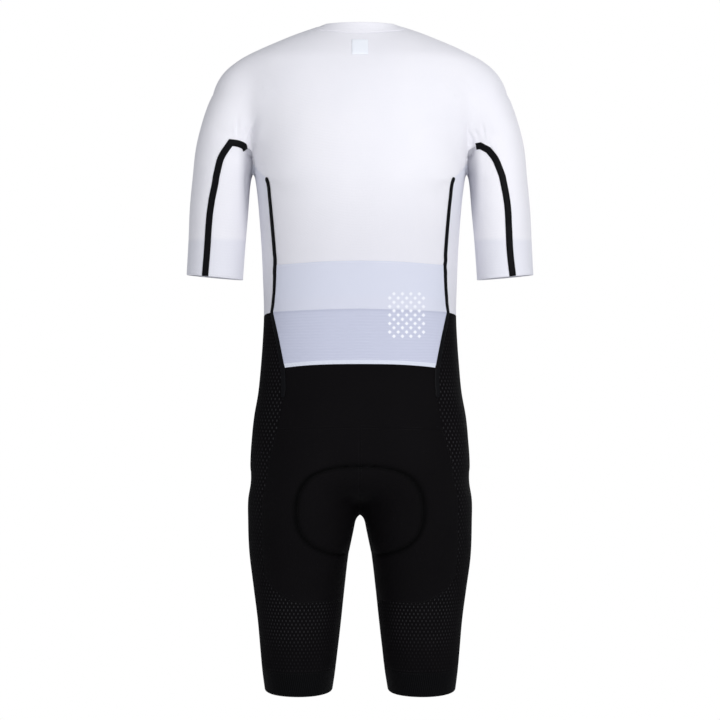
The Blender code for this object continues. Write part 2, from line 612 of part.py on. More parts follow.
SIDE_LOWER = stacked(
    grid(BELT_ROW_SIDE, YOKE_ROW_SIDE, BACK_SIDE_BELOW, FRONT_SIDE_BELOW),
    grid(YOKE_ROW_SIDE, CROTCH_ROW_SIDE, BACK_SIDE_SEAT, FRONT_SIDE_SEAT),
    grid(CROTCH_ROW_SIDE, SEAT_ROW_SIDE, BACK_SIDE_THIGH, FRONT_SIDE_THIGH),
    grid(SEAT_ROW_SIDE, BAND_ROW[1], BACK_SIDE_KNEE, FRONT_SIDE_KNEE),
)
KNEE_BACK = grid(SEAT_EDGE_BACK, BAND_ROW[0], INNER_LEG_LOWER, BACK_SIDE_KNEE)
FRONT_LOWER = stacked(
    grid(BELT_ROW_FRONT, YOKE_ROW_FRONT, FRONT_SIDE_BELOW, CENTRE_FRONT_BELOW),
    grid(YOKE_ROW_FRONT, CROTCH_ROW_FRONT, FRONT_SIDE_SEAT, CENTRE_FRONT_SEAT),
    grid(CROTCH_ROW_FRONT, SEAT_ROW_FRONT, FRONT_SIDE_THIGH, INNER_LEG_UPPER),
    grid(SEAT_ROW_FRONT, BAND_ROW[2], FRONT_SIDE_KNEE, INNER_LEG_LOWER),
)
LEG_BAND = beside(
    grid(BAND_ROW[0], HEM_ROW[0], BAND_SIDES[0], BAND_SIDES[1]),
    grid(BAND_ROW[1], HEM_ROW[1], BAND_SIDES[1], BAND_SIDES[2]),
    grid(BAND_ROW[2], HEM_ROW[2], BAND_SIDES[2], BAND_SIDES[0]),
)
COLLAR_ROWS = 1


def collar_grid(part):
    seam, top = NECK_SEAM[part], NECK_TOP[part]
    sides = [line([top[end], seam[end]], COLLAR_ROWS) for end in (0, -1)]
    return grid(top, seam, *sides)


COLLAR = beside(*[collar_grid(part) for part in range(5)])

# ---------------------------------------------------------------- walls

Surface = namedtuple("Surface", "points triangles")


def sewn(grids):
    """Grids sewn into one surface: points that meet are one point. Triangles are wound to face outward."""
    points, triangles, known = [], [], {}

    def index(point):
        key = tuple(np.round(point, 2) + 0.0)
        if key not in known:
            known[key] = len(points)
            points.append(point)
        return known[key]

    for g in grids:
        numbers = [[index(p) for p in row] for row in g]
        cells = []
        for i in range(len(numbers) - 1):
            for j in range(len(numbers[0]) - 1):
                a, b = numbers[i][j], numbers[i][j + 1]
                c, d = numbers[i + 1][j + 1], numbers[i + 1][j]
                cells += [t for t in ((a, b, c), (a, c, d)) if len(set(t)) == 3]
        corners = np.array(points)[np.array(cells)]
        faces = np.cross(corners[:, 1] - corners[:, 0], corners[:, 2] - corners[:, 0])
        facing = (faces * outward(corners.mean(axis=1))).sum()
        triangles += cells if facing > 0 else [(a, c, b) for a, b, c in cells]
    return Surface(np.array(points), triangles)


def both_sides(*grids):
    return [*grids, *[mirrored(g) for g in grids]]


def kept_where(surface, inside):
    """The part of a surface where the function inside is above zero, cut through its triangles."""
    points = list(surface.points)
    values = list(inside(surface.points))
    cuts, triangles = {}, []

    def cut(a, b):
        key = (min(a, b), max(a, b))
        if key not in cuts:
            share = values[a] / (values[a] - values[b])
            cuts[key] = len(points)
            points.append(points[a] + share * (points[b] - points[a]))
        return cuts[key]

    for triangle in surface.triangles:
        ring = []
        for a, b in zip(triangle, (*triangle[1:], triangle[0])):
            if values[a] > 0:
                ring.append(a)
            if (values[a] > 0) != (values[b] > 0):
                ring.append(cut(a, b))
        triangles += [(ring[0], ring[k], ring[k + 1]) for k in range(1, len(ring) - 1)]
    used = sorted({a for t in triangles for a in t})
    place = {a: k for k, a in enumerate(used)}
    return Surface(np.array(points)[used], [tuple(place[a] for a in t) for t in triangles])


def border(surface):
    """The directed edges that belong to one triangle."""
    edges = {}
    for triangle in surface.triangles:
        for a, b in zip(triangle, (*triangle[1:], triangle[0])):
            edges[(a, b)] = True
    return [(a, b) for a, b in edges if (b, a) not in edges]


SHARPEST_CORNER = 0.15  # limits how far a sharp corner is drawn in


def drawn_in(surface, normals, margin):
    """The points with those of the border moved into the piece by margin, across the border's edges."""
    pulls = {}
    for a, b in border(surface):
        along_edge = surface.points[b] - surface.points[a]
        pull = np.cross(normals[a] + normals[b], along_edge)
        pull /= np.linalg.norm(pull)
        for end in (a, b):
            pulls.setdefault(end, []).append(pull)
    moved = surface.points.copy()
    for end, pair in pulls.items():
        middle = sum(pair) / len(pair)
        moved[end] += margin * middle / max(float(middle @ middle), SHARPEST_CORNER)
    return moved


def material(name, colour, roughness, metallic=0.0):
    made = bpy.data.materials.new(name)
    made.use_nodes = True
    shader = made.node_tree.nodes["Principled BSDF"]
    shader.inputs["Base Color"].default_value = (*colour, 1.0)
    shader.inputs["Roughness"].default_value = roughness
    shader.inputs["Metallic"].default_value = metallic
    made.diffuse_color = (*colour, 1.0)
    return made


def add_object(name, mesh, made_of):
    for polygon in mesh.polygons:
        polygon.use_smooth = True
    mesh.set_sharp_from_angle(angle=math.radians(40))
    mesh.materials.append(made_of)
    piece = bpy.data.objects.new(name, mesh)
    bpy.context.collection.objects.link(piece)
    return piece


def wall(name, surface, made_of, outer=0.0, inner=-WALL, margin=SEAM_GAP / 2):
    """A closed wall over a surface, from inner to outer along the form's normals. Either may vary."""
    normals = outward(surface.points)
    points = drawn_in(surface, normals, margin)
    outside = points + normals * np.reshape(outer, (-1, 1))
    inside = points + normals * np.reshape(inner, (-1, 1))
    count = len(points)
    faces = [tuple(t) for t in surface.triangles]
    faces += [(c + count, b + count, a + count) for a, b, c in surface.triangles]
    for a, b in border(surface):
        faces += [(b, a, a + count), (b, a + count, b + count)]
    mesh = bpy.data.meshes.new(name)
    mesh.from_pydata([tuple(p * MM) for p in np.concatenate([outside, inside])], [], faces)
    return add_object(name, mesh, made_of)


# ---------------------------------------------------------------- pieces


for old in list(bpy.data.objects):
    bpy.data.objects.remove(old, do_unlink=True)

WHITE = material("white_knit", (0.84, 0.83, 0.88), 0.75)
POCKET_SMOOTH = material("pocket_smooth", (0.68, 0.70, 0.80), 0.65)
POCKET_RIBBED = material("pocket_ribbed", (0.58, 0.60, 0.72), 0.75)
POCKET_WHITE = material("pocket_edge", (0.80, 0.82, 0.90), 0.6)
BLACK = material("black_knit", (0.012, 0.011, 0.013), 0.7)
MESH = material("black_mesh", (0.015, 0.014, 0.016), 0.75)
GRIPPER = material("gripper", (0.010, 0.010, 0.012), 0.6)
TAPE = material("tape", (0.012, 0.012, 0.015), 0.5)
PAD = material("pad_foam", (0.05, 0.05, 0.055), 0.9)
PATCH = material("patch", (0.86, 0.88, 0.95), 0.5)
ZIP_CLOTH = material("zip_tape", (0.78, 0.78, 0.82), 0.8)
ZIP_METAL = material("zip_metal", (0.55, 0.56, 0.58), 0.35, 1.0)

SIDES = (("left", lambda g: g), ("right", mirrored))

# The back runs over the shoulders and arms to the raglan seams and cuffs, all in one piece of cloth. Here it
# is cut into five solids, so that simple collision shapes can follow each of them.
BACK_GRIDS = [SHOULDER_GRIDS[0], ARMHOLE_GRIDS[0], BACK_ABOVE_POCKET, BACK_UPPER_POCKET, BACK_TAIL]
wall("back_panel", sewn(both_sides(*BACK_GRIDS)), WHITE)
for side, turned in SIDES:
    wall(f"shoulder_{side}", sewn([turned(g) for g in SHOULDER_GRIDS[1:4]]), WHITE, margin=2 * SEAM_GAP)
    wall(f"sleeve_{side}", sewn([turned(g) for g in [*ARMHOLE_GRIDS[2:4], *SLEEVE_GRIDS[1:]]]), WHITE)
wall("collar", sewn(both_sides(COLLAR)), WHITE)
wall("back_yoke", sewn(both_sides(YOKE_TOP, YOKE_EDGE, YOKE_BODY)), BLACK)

for side, turned in SIDES:
    wall(f"front_{side}", sewn([turned(FRONT_UPPER)]), WHITE)
    under = [ARMHOLE_GRIDS[1], SLEEVE_GRIDS[0], SLEEVE_UNDER]
    wall(f"under_sleeve_{side}", sewn([turned(g) for g in under]), WHITE, margin=SEAM_GAP)
    wall(f"side_upper_{side}", sewn([turned(SIDE_UPPER)]), WHITE)
    wall(f"side_lower_{side}", sewn([turned(SIDE_LOWER), turned(KNEE_BACK)]), MESH)
    wall(f"seat_{side}", sewn([turned(SEAT)]), BLACK)
    wall(f"front_lower_{side}", sewn([turned(FRONT_LOWER)]), BLACK)
    wall(f"leg_gripper_{side}", sewn([turned(LEG_BAND)]), GRIPPER)


# The back pocket's layers lie on the back and the yoke, between the tapes.
def trimmed(cells, margin):
    """The grid with its last line of points drawn back by margin, towards the line before it."""
    trim = cells.copy()
    back_along = cells[:, -2] - cells[:, -1]
    trim[:, -1] += margin * back_along / np.linalg.norm(back_along, axis=1, keepdims=True)
    return trim


def pocket_layer(name, cells, made_of):
    layer = sewn(both_sides(*[trimmed(g, POCKET_MARGIN) for g in cells]))
    wall(name, layer, made_of, outer=LAYER_GAP + POCKET_THICK, inner=LAYER_GAP)


pocket_layer("pocket_upper", [BACK_UPPER_POCKET], POCKET_SMOOTH)
pocket_layer("pocket_lower", [BACK_TAIL, YOKE_TOP], POCKET_RIBBED)
pocket_layer("pocket_hem", [YOKE_EDGE], POCKET_WHITE)


# The tapes lie over their seams, cut from the cells of the pieces beside them.
def tape(name, cells, seam, width, *ends):
    """A strip of the cells along a seam. Each of ends is a function, above zero where the strip goes on."""
    strip = sewn(cells)

    def within(points):
        return width / 2 - np.linalg.norm(points[:, None] - seam[None], axis=2).min(axis=1)

    strip = kept_where(strip, within)
    for end in ends:
        strip = kept_where(strip, end)
    for side, turned in SIDES:
        surface = sewn_mirror(strip) if side == "right" else strip
        wall(f"{name}_{side}", surface, TAPE, outer=LAYER_GAP + TAPE_THICK, inner=LAYER_GAP, margin=0)


def sewn_mirror(surface):
    return Surface(mirrored(surface.points), [(a, c, b) for a, b, c in surface.triangles])


back_cells = stacked(BACK_ABOVE_POCKET, BACK_UPPER_POCKET, BACK_TAIL, YOKE_TOP, YOKE_EDGE, YOKE_BODY)
side_cells = stacked(SIDE_UPPER, SIDE_LOWER[: BELOW_BELT + 1])
tape(
    "back_tape",
    [back_cells[:, -2:], side_cells[:, :2]],
    back_cells[:, -1],
    BACK_TAPE_WIDTH,
    lambda p: BACK_TAPE_TOP - p[:, 2],
    lambda p: p[:, 2] - BACK_TAPE_END,
)

# The sleeve tape runs out from the crease to a kink and turns down to the cuff.
tape(
    "sleeve_tape",
    [
        SHOULDER_GRIDS[1][-2:],
        SHOULDER_GRIDS[2][-2:, :2],
        ARMHOLE_GRIDS[1],
        ARMHOLE_GRIDS[2][:, :2],
        SLEEVE_GRIDS[0][:, -2:],
        SLEEVE_GRIDS[1][:, :2],
    ],
    np.concatenate([KINK_ROW[1], TAPE_LOWER, SLEEVE_TAPE_LINE]),
    SLEEVE_TAPE_WIDTH,
)

# A plain square is sewn on below the collar.
PATCH_HALF_WIDTH, PATCH_TOP, PATCH_BOTTOM = 12.0, 8.0, -14.0
patch = sewn(both_sides(SHOULDER_GRIDS[0][:, :3]))
for inside in (
    lambda p: PATCH_HALF_WIDTH - p[:, 0],
    lambda p: PATCH_HALF_WIDTH + p[:, 0],
    lambda p: PATCH_TOP - p[:, 2],
    lambda p: p[:, 2] - PATCH_BOTTOM,
):
    patch = kept_where(patch, inside)
wall("neck_patch", patch, PATCH, outer=LAYER_GAP + PATCH_THICK, inner=LAYER_GAP, margin=0)

# The pad lies inside the seat and the front. It is widest behind and thins towards its edge.
PAD_BACK_WIDTH, PAD_FRONT_WIDTH = 94.0, 60.0
PAD_MIDDLE, PAD_RISE_BACK, PAD_RISE_FRONT, PAD_DROP = -697.0, 69.0, 88.0, 66.0
PAD_TURN = 60.0  # the depth over which its back outline turns into the front one
PAD_ROUNDNESS = 2.4
PAD_EDGE_THICK, PAD_THICK = 2.0, 7.0
PAD_BEVEL = 0.3  # the share of the way to the middle over which it gets thicker
PAD_GAP = 0.95


def pad_depth(points):
    """Zero at the pad's edge and 1 at its middle."""
    behind = np.clip(points[:, 1] / PAD_TURN + 0.5, 0, 1)
    half_width = PAD_FRONT_WIDTH + (PAD_BACK_WIDTH - PAD_FRONT_WIDTH) * behind
    rise = PAD_RISE_FRONT + (PAD_RISE_BACK - PAD_RISE_FRONT) * behind
    height = points[:, 2] - PAD_MIDDLE
    reach = np.abs(points[:, 0] / half_width) ** PAD_ROUNDNESS
    reach += np.abs(height / np.where(height > 0, rise, PAD_DROP)) ** PAD_ROUNDNESS
    return 1 - reach ** (1 / PAD_ROUNDNESS)


pad = kept_where(sewn(both_sides(SEAT, FRONT_LOWER)), pad_depth)
pad_face = -(WALL + PAD_GAP)
depth = np.clip(pad_depth(pad.points) / PAD_BEVEL, 0, 1)
pad_thickness = PAD_EDGE_THICK + (PAD_THICK - PAD_EDGE_THICK) * depth
wall("chamois_pad", pad, PAD, outer=pad_face, inner=pad_face - pad_thickness, margin=0)

# ---------------------------------------------------------------- zip

# Two tapes lie behind the edges of the fronts. They meet in the middle, below the slider.
ZIP_HALF_GAP, ZIP_TOP_HALF_GAP = 0.15, 1.3
ZIP_FACE = -(WALL + SEAM_GAP)

zip_cells = stacked(COLLAR[:, -2:], FRONT_UPPER[:, -2:], FRONT_LOWER[: ZIP_STEPS + 1, -2:])
zip_edge = zip_cells[:, 1]
zip_middle = zip_edge * [0, 1, 1] + [ZIP_HALF_GAP, 0, 0]
zip_middle[0, 0] = ZIP_TOP_HALF_GAP
across_front = zip_cells[:, 0] - zip_edge
across_front /= np.linalg.norm(across_front, axis=1, keepdims=True)
zip_far = zip_edge + (ZIP_TAPE_WIDTH - ZIP_OPENING) * across_front
for side, turned in SIDES:
    tape_surface = sewn([turned(np.stack([zip_middle, zip_edge, zip_far], axis=1))])
    behind = ZIP_FACE - ZIP_TAPE_THICK
    wall(f"zip_tape_{side}", tape_surface, ZIP_CLOTH, outer=ZIP_FACE, inner=behind, margin=0)


def on_zip(z):
    """A frame on the closed zip at the height z. Its X runs across, its Y up along the zip, its Z outward."""
    place = fore(0, z)
    out = outward(place[None])[0]
    across = np.array([1.0, 0.0, 0.0])
    up = np.cross(out, across)
    return Matrix([(across[k], up[k], out[k], place[k] * MM) for k in range(3)] + [(0, 0, 0, 1)])


def prism(outline, way):
    """A solid: an outline of points carried along way."""
    near_end = [Vector(p) * MM for p in outline]
    far_end = [p + Vector(way) * MM for p in near_end]
    count = len(outline)
    sides = [(k, (k + 1) % count, (k + 1) % count + count, k + count) for k in range(count)]
    mesh = bpy.data.meshes.new("prism")
    mesh.from_pydata(near_end + far_end, [], [tuple(range(count)), tuple(range(count, 2 * count)), *sides])
    solid = bmesh.new()
    solid.from_mesh(mesh)
    bmesh.ops.recalc_face_normals(solid, faces=solid.faces)
    solid.to_mesh(mesh)
    solid.free()
    return mesh


def united(name, made_of, frame, meshes):
    """One solid made of several that overlap."""
    piece = add_object(name, meshes[0], made_of)
    piece.matrix_world = frame
    for mesh in meshes[1:]:
        other = bpy.data.objects.new("joined_to_" + name, mesh)
        bpy.context.collection.objects.link(other)
        other.matrix_world = frame
        other.hide_render = True
        other.display_type = "WIRE"
        union = piece.modifiers.new("union", "BOOLEAN")
        union.operation = "UNION"
        union.object = other
    return piece


def mirrored_outline(points):
    """An outline of (x, y, z) points of one side, closed by their mirror image across X."""
    return points + [(-x, y, z) for x, y, z in reversed(points)]


# The slider has two plates round the tapes, a post between them and a bridge that carries the pull.
SLIDER_HEIGHT = -38.0
PLATE_TOP, PLATE_SHOULDER, PLATE_BOTTOM = (3.7, 5.0), (3.9, 1.0), (2.9, -5.0)  # half width and place along
FRONT_PLATE, BACK_PLATE = (-0.7, 0.5), (-4.1, -3.1)  # inner and outer face
PLATE_SINK = 0.2  # what stands on a plate starts inside it
POST_HALF_WIDTH, POST_FROM, POST_TO = 0.6, 2.0, 4.5
BRIDGE_HALF_WIDTH = 0.8
BRIDGE_OVER = [(4.2, 0.3), (3.4, 2.3), (2.2, 2.9)]  # place along and height, from the foot to the top
BRIDGE_UNDER = [(1.6, 2.1), (2.4, 1.8), (3.0, 0.3)]
PIN_HEIGHT = 1.3


def plate(low, high):
    corners = [(x, y, low) for x, y in (PLATE_BOTTOM, PLATE_SHOULDER, PLATE_TOP)]
    return prism(mirrored_outline(corners), (0, 0, high - low))


def post():
    low, high = BACK_PLATE[1] - PLATE_SINK, FRONT_PLATE[0] + PLATE_SINK
    corners = [(POST_HALF_WIDTH, y, low) for y in (POST_FROM, POST_TO)]
    return prism(mirrored_outline(corners), (0, 0, high - low))


def bridge():
    over = BRIDGE_OVER + [(-y, z) for y, z in reversed(BRIDGE_OVER)]
    under = [(-y, z) for y, z in reversed(BRIDGE_UNDER)] + BRIDGE_UNDER
    corners = [(-BRIDGE_HALF_WIDTH, y, z) for y, z in over + under]
    return prism(corners, (2 * BRIDGE_HALF_WIDTH, 0, 0))


slider_frame = on_zip(SLIDER_HEIGHT)
united("zip_slider", ZIP_METAL, slider_frame, [plate(*FRONT_PLATE), plate(*BACK_PLATE), post(), bridge()])

# The pull turns about a pin under the bridge. Its origin is on the pin's axis, and it hangs along the zip.
PULL_TILT = 3.0
PIN_RADIUS, PIN_HALF_LENGTH, PIN_SIDES = 0.5, 2.3, 10
ARM_INNER, ARM_OUTER, ARM_HALF_THICK = 1.3, 2.4, 0.45
ARM_TOP, ARM_BOTTOM = 0.4, -7.0
TAB_TOP, TAB_BOTTOM, TAB_HALF_THICK = -6.2, -24.0, 0.6
TAB_SIDE = [
    (2.35, TAB_TOP),
    (2.75, TAB_TOP - 1),
    (2.45, TAB_BOTTOM + 1.8),
    (1.55, TAB_BOTTOM + 0.3),
    (0.55, TAB_BOTTOM),
]


def pin():
    turns = [math.tau * k / PIN_SIDES for k in range(PIN_SIDES)]
    corners = [(-PIN_HALF_LENGTH, PIN_RADIUS * math.cos(t), PIN_RADIUS * math.sin(t)) for t in turns]
    return prism(corners, (2 * PIN_HALF_LENGTH, 0, 0))


def pull_arm(sign):
    corners = [(ARM_INNER, ARM_TOP), (ARM_OUTER, ARM_TOP), (ARM_OUTER, ARM_BOTTOM), (ARM_INNER, ARM_BOTTOM)]
    return prism([(sign * x, y, -ARM_HALF_THICK) for x, y in corners], (0, 0, 2 * ARM_HALF_THICK))


def tab():
    return prism(mirrored_outline([(x, y, -TAB_HALF_THICK) for x, y in TAB_SIDE]), (0, 0, 2 * TAB_HALF_THICK))


pull_frame = slider_frame @ Matrix.Translation((0, 0, PIN_HEIGHT * MM))
pull_frame = pull_frame @ Matrix.Rotation(-math.radians(PULL_TILT), 4, "X")
united("zip_pull", ZIP_METAL, pull_frame, [tab(), pull_arm(1), pull_arm(-1), pin()])

# A stop closes the zip's lower end.
STOP_HEIGHT = ZIP_END + 4.0
STOP_HALF_WIDTH, STOP_HALF_LENGTH, STOP_FACE = 2.6, 1.5, 1.15
stop_corners = [(STOP_HALF_WIDTH, y, -STOP_FACE) for y in (-STOP_HALF_LENGTH, STOP_HALF_LENGTH)]
stop = add_object("zip_stop", prism(mirrored_outline(stop_corners), (0, 0, STOP_FACE)), ZIP_METAL)
stop.matrix_world = on_zip(STOP_HEIGHT)
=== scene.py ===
"""Short-sleeved cycling skinsuit, filled out as a general figure would hold it, seen from behind."""

import math
from collections import namedtuple

import bpy
import numpy as np
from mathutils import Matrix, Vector


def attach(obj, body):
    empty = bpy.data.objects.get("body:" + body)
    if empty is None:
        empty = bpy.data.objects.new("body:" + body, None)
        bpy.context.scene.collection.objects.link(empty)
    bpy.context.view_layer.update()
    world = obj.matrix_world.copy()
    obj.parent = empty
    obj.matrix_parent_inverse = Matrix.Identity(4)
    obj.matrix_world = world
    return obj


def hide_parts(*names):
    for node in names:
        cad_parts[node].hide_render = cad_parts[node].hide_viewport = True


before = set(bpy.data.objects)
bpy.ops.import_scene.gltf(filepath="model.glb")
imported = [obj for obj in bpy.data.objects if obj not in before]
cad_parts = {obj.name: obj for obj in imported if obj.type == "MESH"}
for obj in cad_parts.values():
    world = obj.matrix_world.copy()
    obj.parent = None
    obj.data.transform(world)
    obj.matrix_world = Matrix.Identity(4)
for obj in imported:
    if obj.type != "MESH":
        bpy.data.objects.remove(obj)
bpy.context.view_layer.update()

# ---------------------------------------------------------------- cloth over the figure
# All the cloth is stretched over one smooth figure of trunk, neck, arms and legs. Its level sections are
# given here in millimetres, with X to the wearer's left, Y backwards and Z up, and with them the few soft
# creases that run over the whole suit.

MM = 0.001
WALL = 1.2  # cloth thickness

Trunk = namedtuple("Trunk", "z half_width front back roundness")
TRUNK = [
    Trunk(42, 20, -20, 26, 2.0),
    Trunk(28, 60, -32, 38, 2.0),
    Trunk(16, 94, -40, 50, 2.0),
    Trunk(4, 123, -48, 62, 2.0),
    Trunk(-8, 150, -55, 72, 2.0),
    Trunk(-20, 168, -62, 80, 2.1),
    Trunk(-32, 175, -68, 86, 2.1),
    Trunk(-44, 177, -74, 91, 2.1),
    Trunk(-60, 176, -82, 96, 2.2),
    Trunk(-80, 175, -92, 101, 2.2),
    Trunk(-110, 167, -104, 106, 2.3),
    Trunk(-150, 160, -114, 109, 2.4),
    Trunk(-198, 157, -119, 108, 2.4),
    Trunk(-245, 152, -118, 103, 2.4),
    Trunk(-295, 148.5, -114, 95, 2.4),
    Trunk(-345, 146, -110, 88, 2.4),
    Trunk(-395, 144.5, -107, 85, 2.4),
    Trunk(-440, 146, -106, 87, 2.4),
    Trunk(-480, 148.5, -106, 93, 2.4),
    Trunk(-520, 152.5, -105, 101, 2.4),
    Trunk(-560, 159, -103, 109, 2.4),
    Trunk(-600, 161.5, -100, 115, 2.4),
    Trunk(-640, 156, -97, 117, 2.4),
    Trunk(-680, 155, -93, 114, 2.4),
]
TRUNK_CAP, TRUNK_CAP_DEPTH = -628.0, 50.0  # below the cap's height the trunk closes in a dome

Limb = namedtuple("Limb", "z x y half_width half_depth")
ARM = [
    Limb(-75, 180, 4, 42, 47),
    Limb(-110, 190.5, 4, 44, 48),
    Limb(-150, 201, 3, 44, 48),
    Limb(-198, 207, 2, 43.5, 48),
    Limb(-245, 211, 0, 44, 48),
    Limb(-295, 214.5, -2, 43, 47),
    Limb(-350, 218, -4, 42.5, 46),
]
ARM_CAP, ARM_CAP_HEIGHT = -92.0, 54.0
ARM_END, ARM_END_DEPTH = -365.0, 30.0
LEG = [
    Limb(-640, 83, 10, 75.5, 104),
    Limb(-680, 85.5, 8, 81.5, 99),
    Limb(-715, 87.5, 5, 80, 93),
    Limb(-763, 91.5, 0, 74.5, 84),
    Limb(-811, 91.5, -4, 68.5, 75),
    Limb(-859, 91, -5, 63, 70),
    Limb(-907, 91.5, -4.5, 58, 66),
    Limb(-940, 92, -4, 54.5, 63),
    Limb(-975, 92.5, -3.5, 49.5, 60),
]
LEG_CAP, LEG_CAP_HEIGHT = -640.0, 60.0
NECK = [
    Limb(60, 0, -6, 54, 51),
    Limb(30, 0, -3, 57, 54),
    Limb(0, 0, -3, 61, 57),
    Limb(-60, 0, -4, 66, 66),
]
NECK_CAP, NECK_CAP_DEPTH = -60.0, 60.0
NECK_BLEND, HIP_BLEND = 22.0, 36.0
Blend = namedtuple("Blend", "z width")
# the fillet is wide over the shoulder and narrow under the arm, and wide above the fork and narrow below it
ARM_BLEND = [Blend(0, 42), Blend(-60, 42), Blend(-140, 28), Blend(-200, 15), Blend(-260, 15)]
LEG_BLEND = [Blend(-660, 44), Blend(-692, 44), Blend(-707, 34), Blend(-721, 13), Blend(-760, 10)]
CARRIED = {}


def carried(rows, name):
    """A dense line, a point for each half millimetre, that joins the rows of a table smoothly."""
    ordered = sorted(rows)
    heights = np.array([row.z for row in ordered], float)
    values = np.array([getattr(row, name) for row in ordered], float)
    slopes = np.gradient(values, heights)
    z = np.arange(heights[0], heights[-1] + 0.25, 0.5)
    low = np.clip(np.searchsorted(heights, z) - 1, 0, len(heights) - 2)
    step = heights[low + 1] - heights[low]
    t = (z - heights[low]) / step
    rise = values[low] * (1 + 2 * t) * (1 - t) ** 2 + values[low + 1] * t**2 * (3 - 2 * t)
    return z, rise + step * (slopes[low] * t * (1 - t) ** 2 - slopes[low + 1] * t**2 * (1 - t))


def column(rows, name, z):
    """The named column of a table of sections at the heights z."""
    key = (id(rows), name)
    if key not in CARRIED:
        CARRIED[key] = carried(rows, name)
    return np.interp(z, *CARRIED[key])


def gap_to_section(x, y, end, half_width, half_depth, roundness=2.0):
    """How far points lie outside a rounded section, roughly. The section shrinks as end goes from 0 to 1."""
    if isinstance(roundness, float):
        reach = np.sqrt((x / half_width) ** 2 + (y / half_depth) ** 2 + end**2)
    else:
        reach = np.abs(x / half_width) ** roundness + np.abs(y / half_depth) ** roundness + end**roundness
        reach = reach ** (1 / roundness)
    return (reach - 1) * np.minimum(half_width, half_depth)


def gap_to_limb(rows, x, y, z, end):
    half_width, half_depth = column(rows, "half_width", z), column(rows, "half_depth", z)
    return gap_to_section(x - column(rows, "x", z), y - column(rows, "y", z), end, half_width, half_depth)


def blended(a, b, blend):
    """The union of two forms, with a fillet about as wide as blend."""
    overlap = np.maximum(blend - np.abs(a - b), 0) / blend
    return np.minimum(a, b) - overlap**3 * blend / 6


def form(points):
    """Below zero inside the figure, above zero outside it and about zero on the cloth's outer face."""
    x, y, z = points[..., 0], points[..., 1], points[..., 2]
    front, back = column(TRUNK, "front", z), column(TRUNK, "back", z)
    trunk = gap_to_section(
        x,
        y - (front + back) / 2,
        np.maximum(TRUNK_CAP - z, 0) / TRUNK_CAP_DEPTH,
        column(TRUNK, "half_width", z),
        (back - front) / 2,
        column(TRUNK, "roundness", z),
    )
    neck = gap_to_limb(NECK, x, y, z, np.maximum(NECK_CAP - z, 0) / NECK_CAP_DEPTH)
    arm_end = np.maximum(z - ARM_CAP, 0) / ARM_CAP_HEIGHT + np.maximum(ARM_END - z, 0) / ARM_END_DEPTH
    arm = gap_to_limb(ARM, np.abs(x), y, z, arm_end)
    leg_end = np.maximum(z - LEG_CAP, 0) / LEG_CAP_HEIGHT
    legs = [gap_to_limb(LEG, side * x, y, z, leg_end) for side in (1, -1)]
    legs = blended(*legs, column(LEG_BLEND, "width", z))
    body = blended(blended(trunk, neck, NECK_BLEND), arm, column(ARM_BLEND, "width", z))
    return blended(body, legs, HIP_BLEND)


def slope(points):
    """The form at points, and its gradient there."""
    step = 0.02
    here = form(points)
    sides = [(form(points + step * axis) - here) / step for axis in np.eye(3)]
    return here, np.stack(sides, axis=-1)


def outward(points):
    """Unit normals of the form at points."""
    g = slope(points[..., :3])[1]
    return g / np.linalg.norm(g, axis=-1, keepdims=True)


def onto_form(points, rounds=6):
    """The points moved to the form along its slope."""
    points = np.array(points, float)
    for _ in range(rounds):
        here, g = slope(points)
        move = here[..., None] * g / np.maximum((g * g).sum(axis=-1, keepdims=True), 0.05)
        points -= np.clip(move, -20, 20)
    return points


def straight(start, way, reach):
    return np.asarray(start, float) + np.atleast_1d(reach)[:, None] * np.asarray(way, float)


def first_on(ray, start, stop, sign=1):
    """Where a ray, a function of how far along it points lie, first meets the form. It starts outside it, or
    inside where sign is -1."""
    reach = np.linspace(start, stop, 300)
    gaps = sign * form(ray(reach))
    met = np.nonzero(gaps < 0)[0]
    if len(met) == 0:
        return onto_form(ray(reach[np.argmin(gaps)]), 12)[0]
    out, into = reach[max(met[0] - 1, 0)], reach[met[0]]
    for _ in range(3):
        reach = np.linspace(out, into, 30)
        met = np.nonzero(sign * form(ray(reach)) < 0)[0]
        out, into = reach[max(met[0] - 1, 0)], reach[met[0]]
    return ray((out + into) / 2)[0]


VIEW_DISTANCE, VIEW_HEIGHT = 4500.0, -472.5
OUTSIDE, PAST_MIDDLE = 160, -60  # a ray to the back or the front runs from outside the body past its middle
BELOW_FORK, ABOVE_FORK = -260, -120


def rear(x, z):
    """The point of the back that shows at (x, z) of the plane y = 0, seen from straight behind."""

    def ray(y):
        y = np.atleast_1d(y)
        nearer = (VIEW_DISTANCE - y) / VIEW_DISTANCE
        return np.stack([x * nearer, y, VIEW_HEIGHT + (z - VIEW_HEIGHT) * nearer], axis=1)

    return first_on(ray, OUTSIDE, PAST_MIDDLE)


def fore(x, z):
    """The point of the front straight behind (x, z)."""
    return first_on(lambda y: straight([x, 0, z], [0, 1, 0], y), -OUTSIDE, -PAST_MIDDLE)


def fork(x, y):
    """The point where trunk and arm part, straight above (x, y)."""
    return first_on(lambda z: straight([x, y, 0], [0, 0, 1], z), BELOW_FORK, ABOVE_FORK)


def near(x, y, z):
    """The point of the form by (x, y, z)."""
    return onto_form([[x, y, z]], 12)[0]


def around(centre_x, centre_y, angle, z):
    """The point of a tube's wall in the direction angle, in degrees from +X towards +Y, at the height z."""
    c, s = math.cos(math.radians(angle)), math.sin(math.radians(angle))
    return first_on(lambda r: straight([centre_x, centre_y, z], [c, s, 0], r), 0, 110, sign=-1)


EDGE_STEP = 0.28  # the share of a step at which a row follows each edge, so that the edge can roll


def shares(count):
    """Even shares from 0 to 1, with one more close to each end."""
    even = np.linspace(0, 1, count + 1)
    return np.concatenate([[0, even[1] * EDGE_STEP], even[1:-1], [1 - even[1] * EDGE_STEP, 1]])


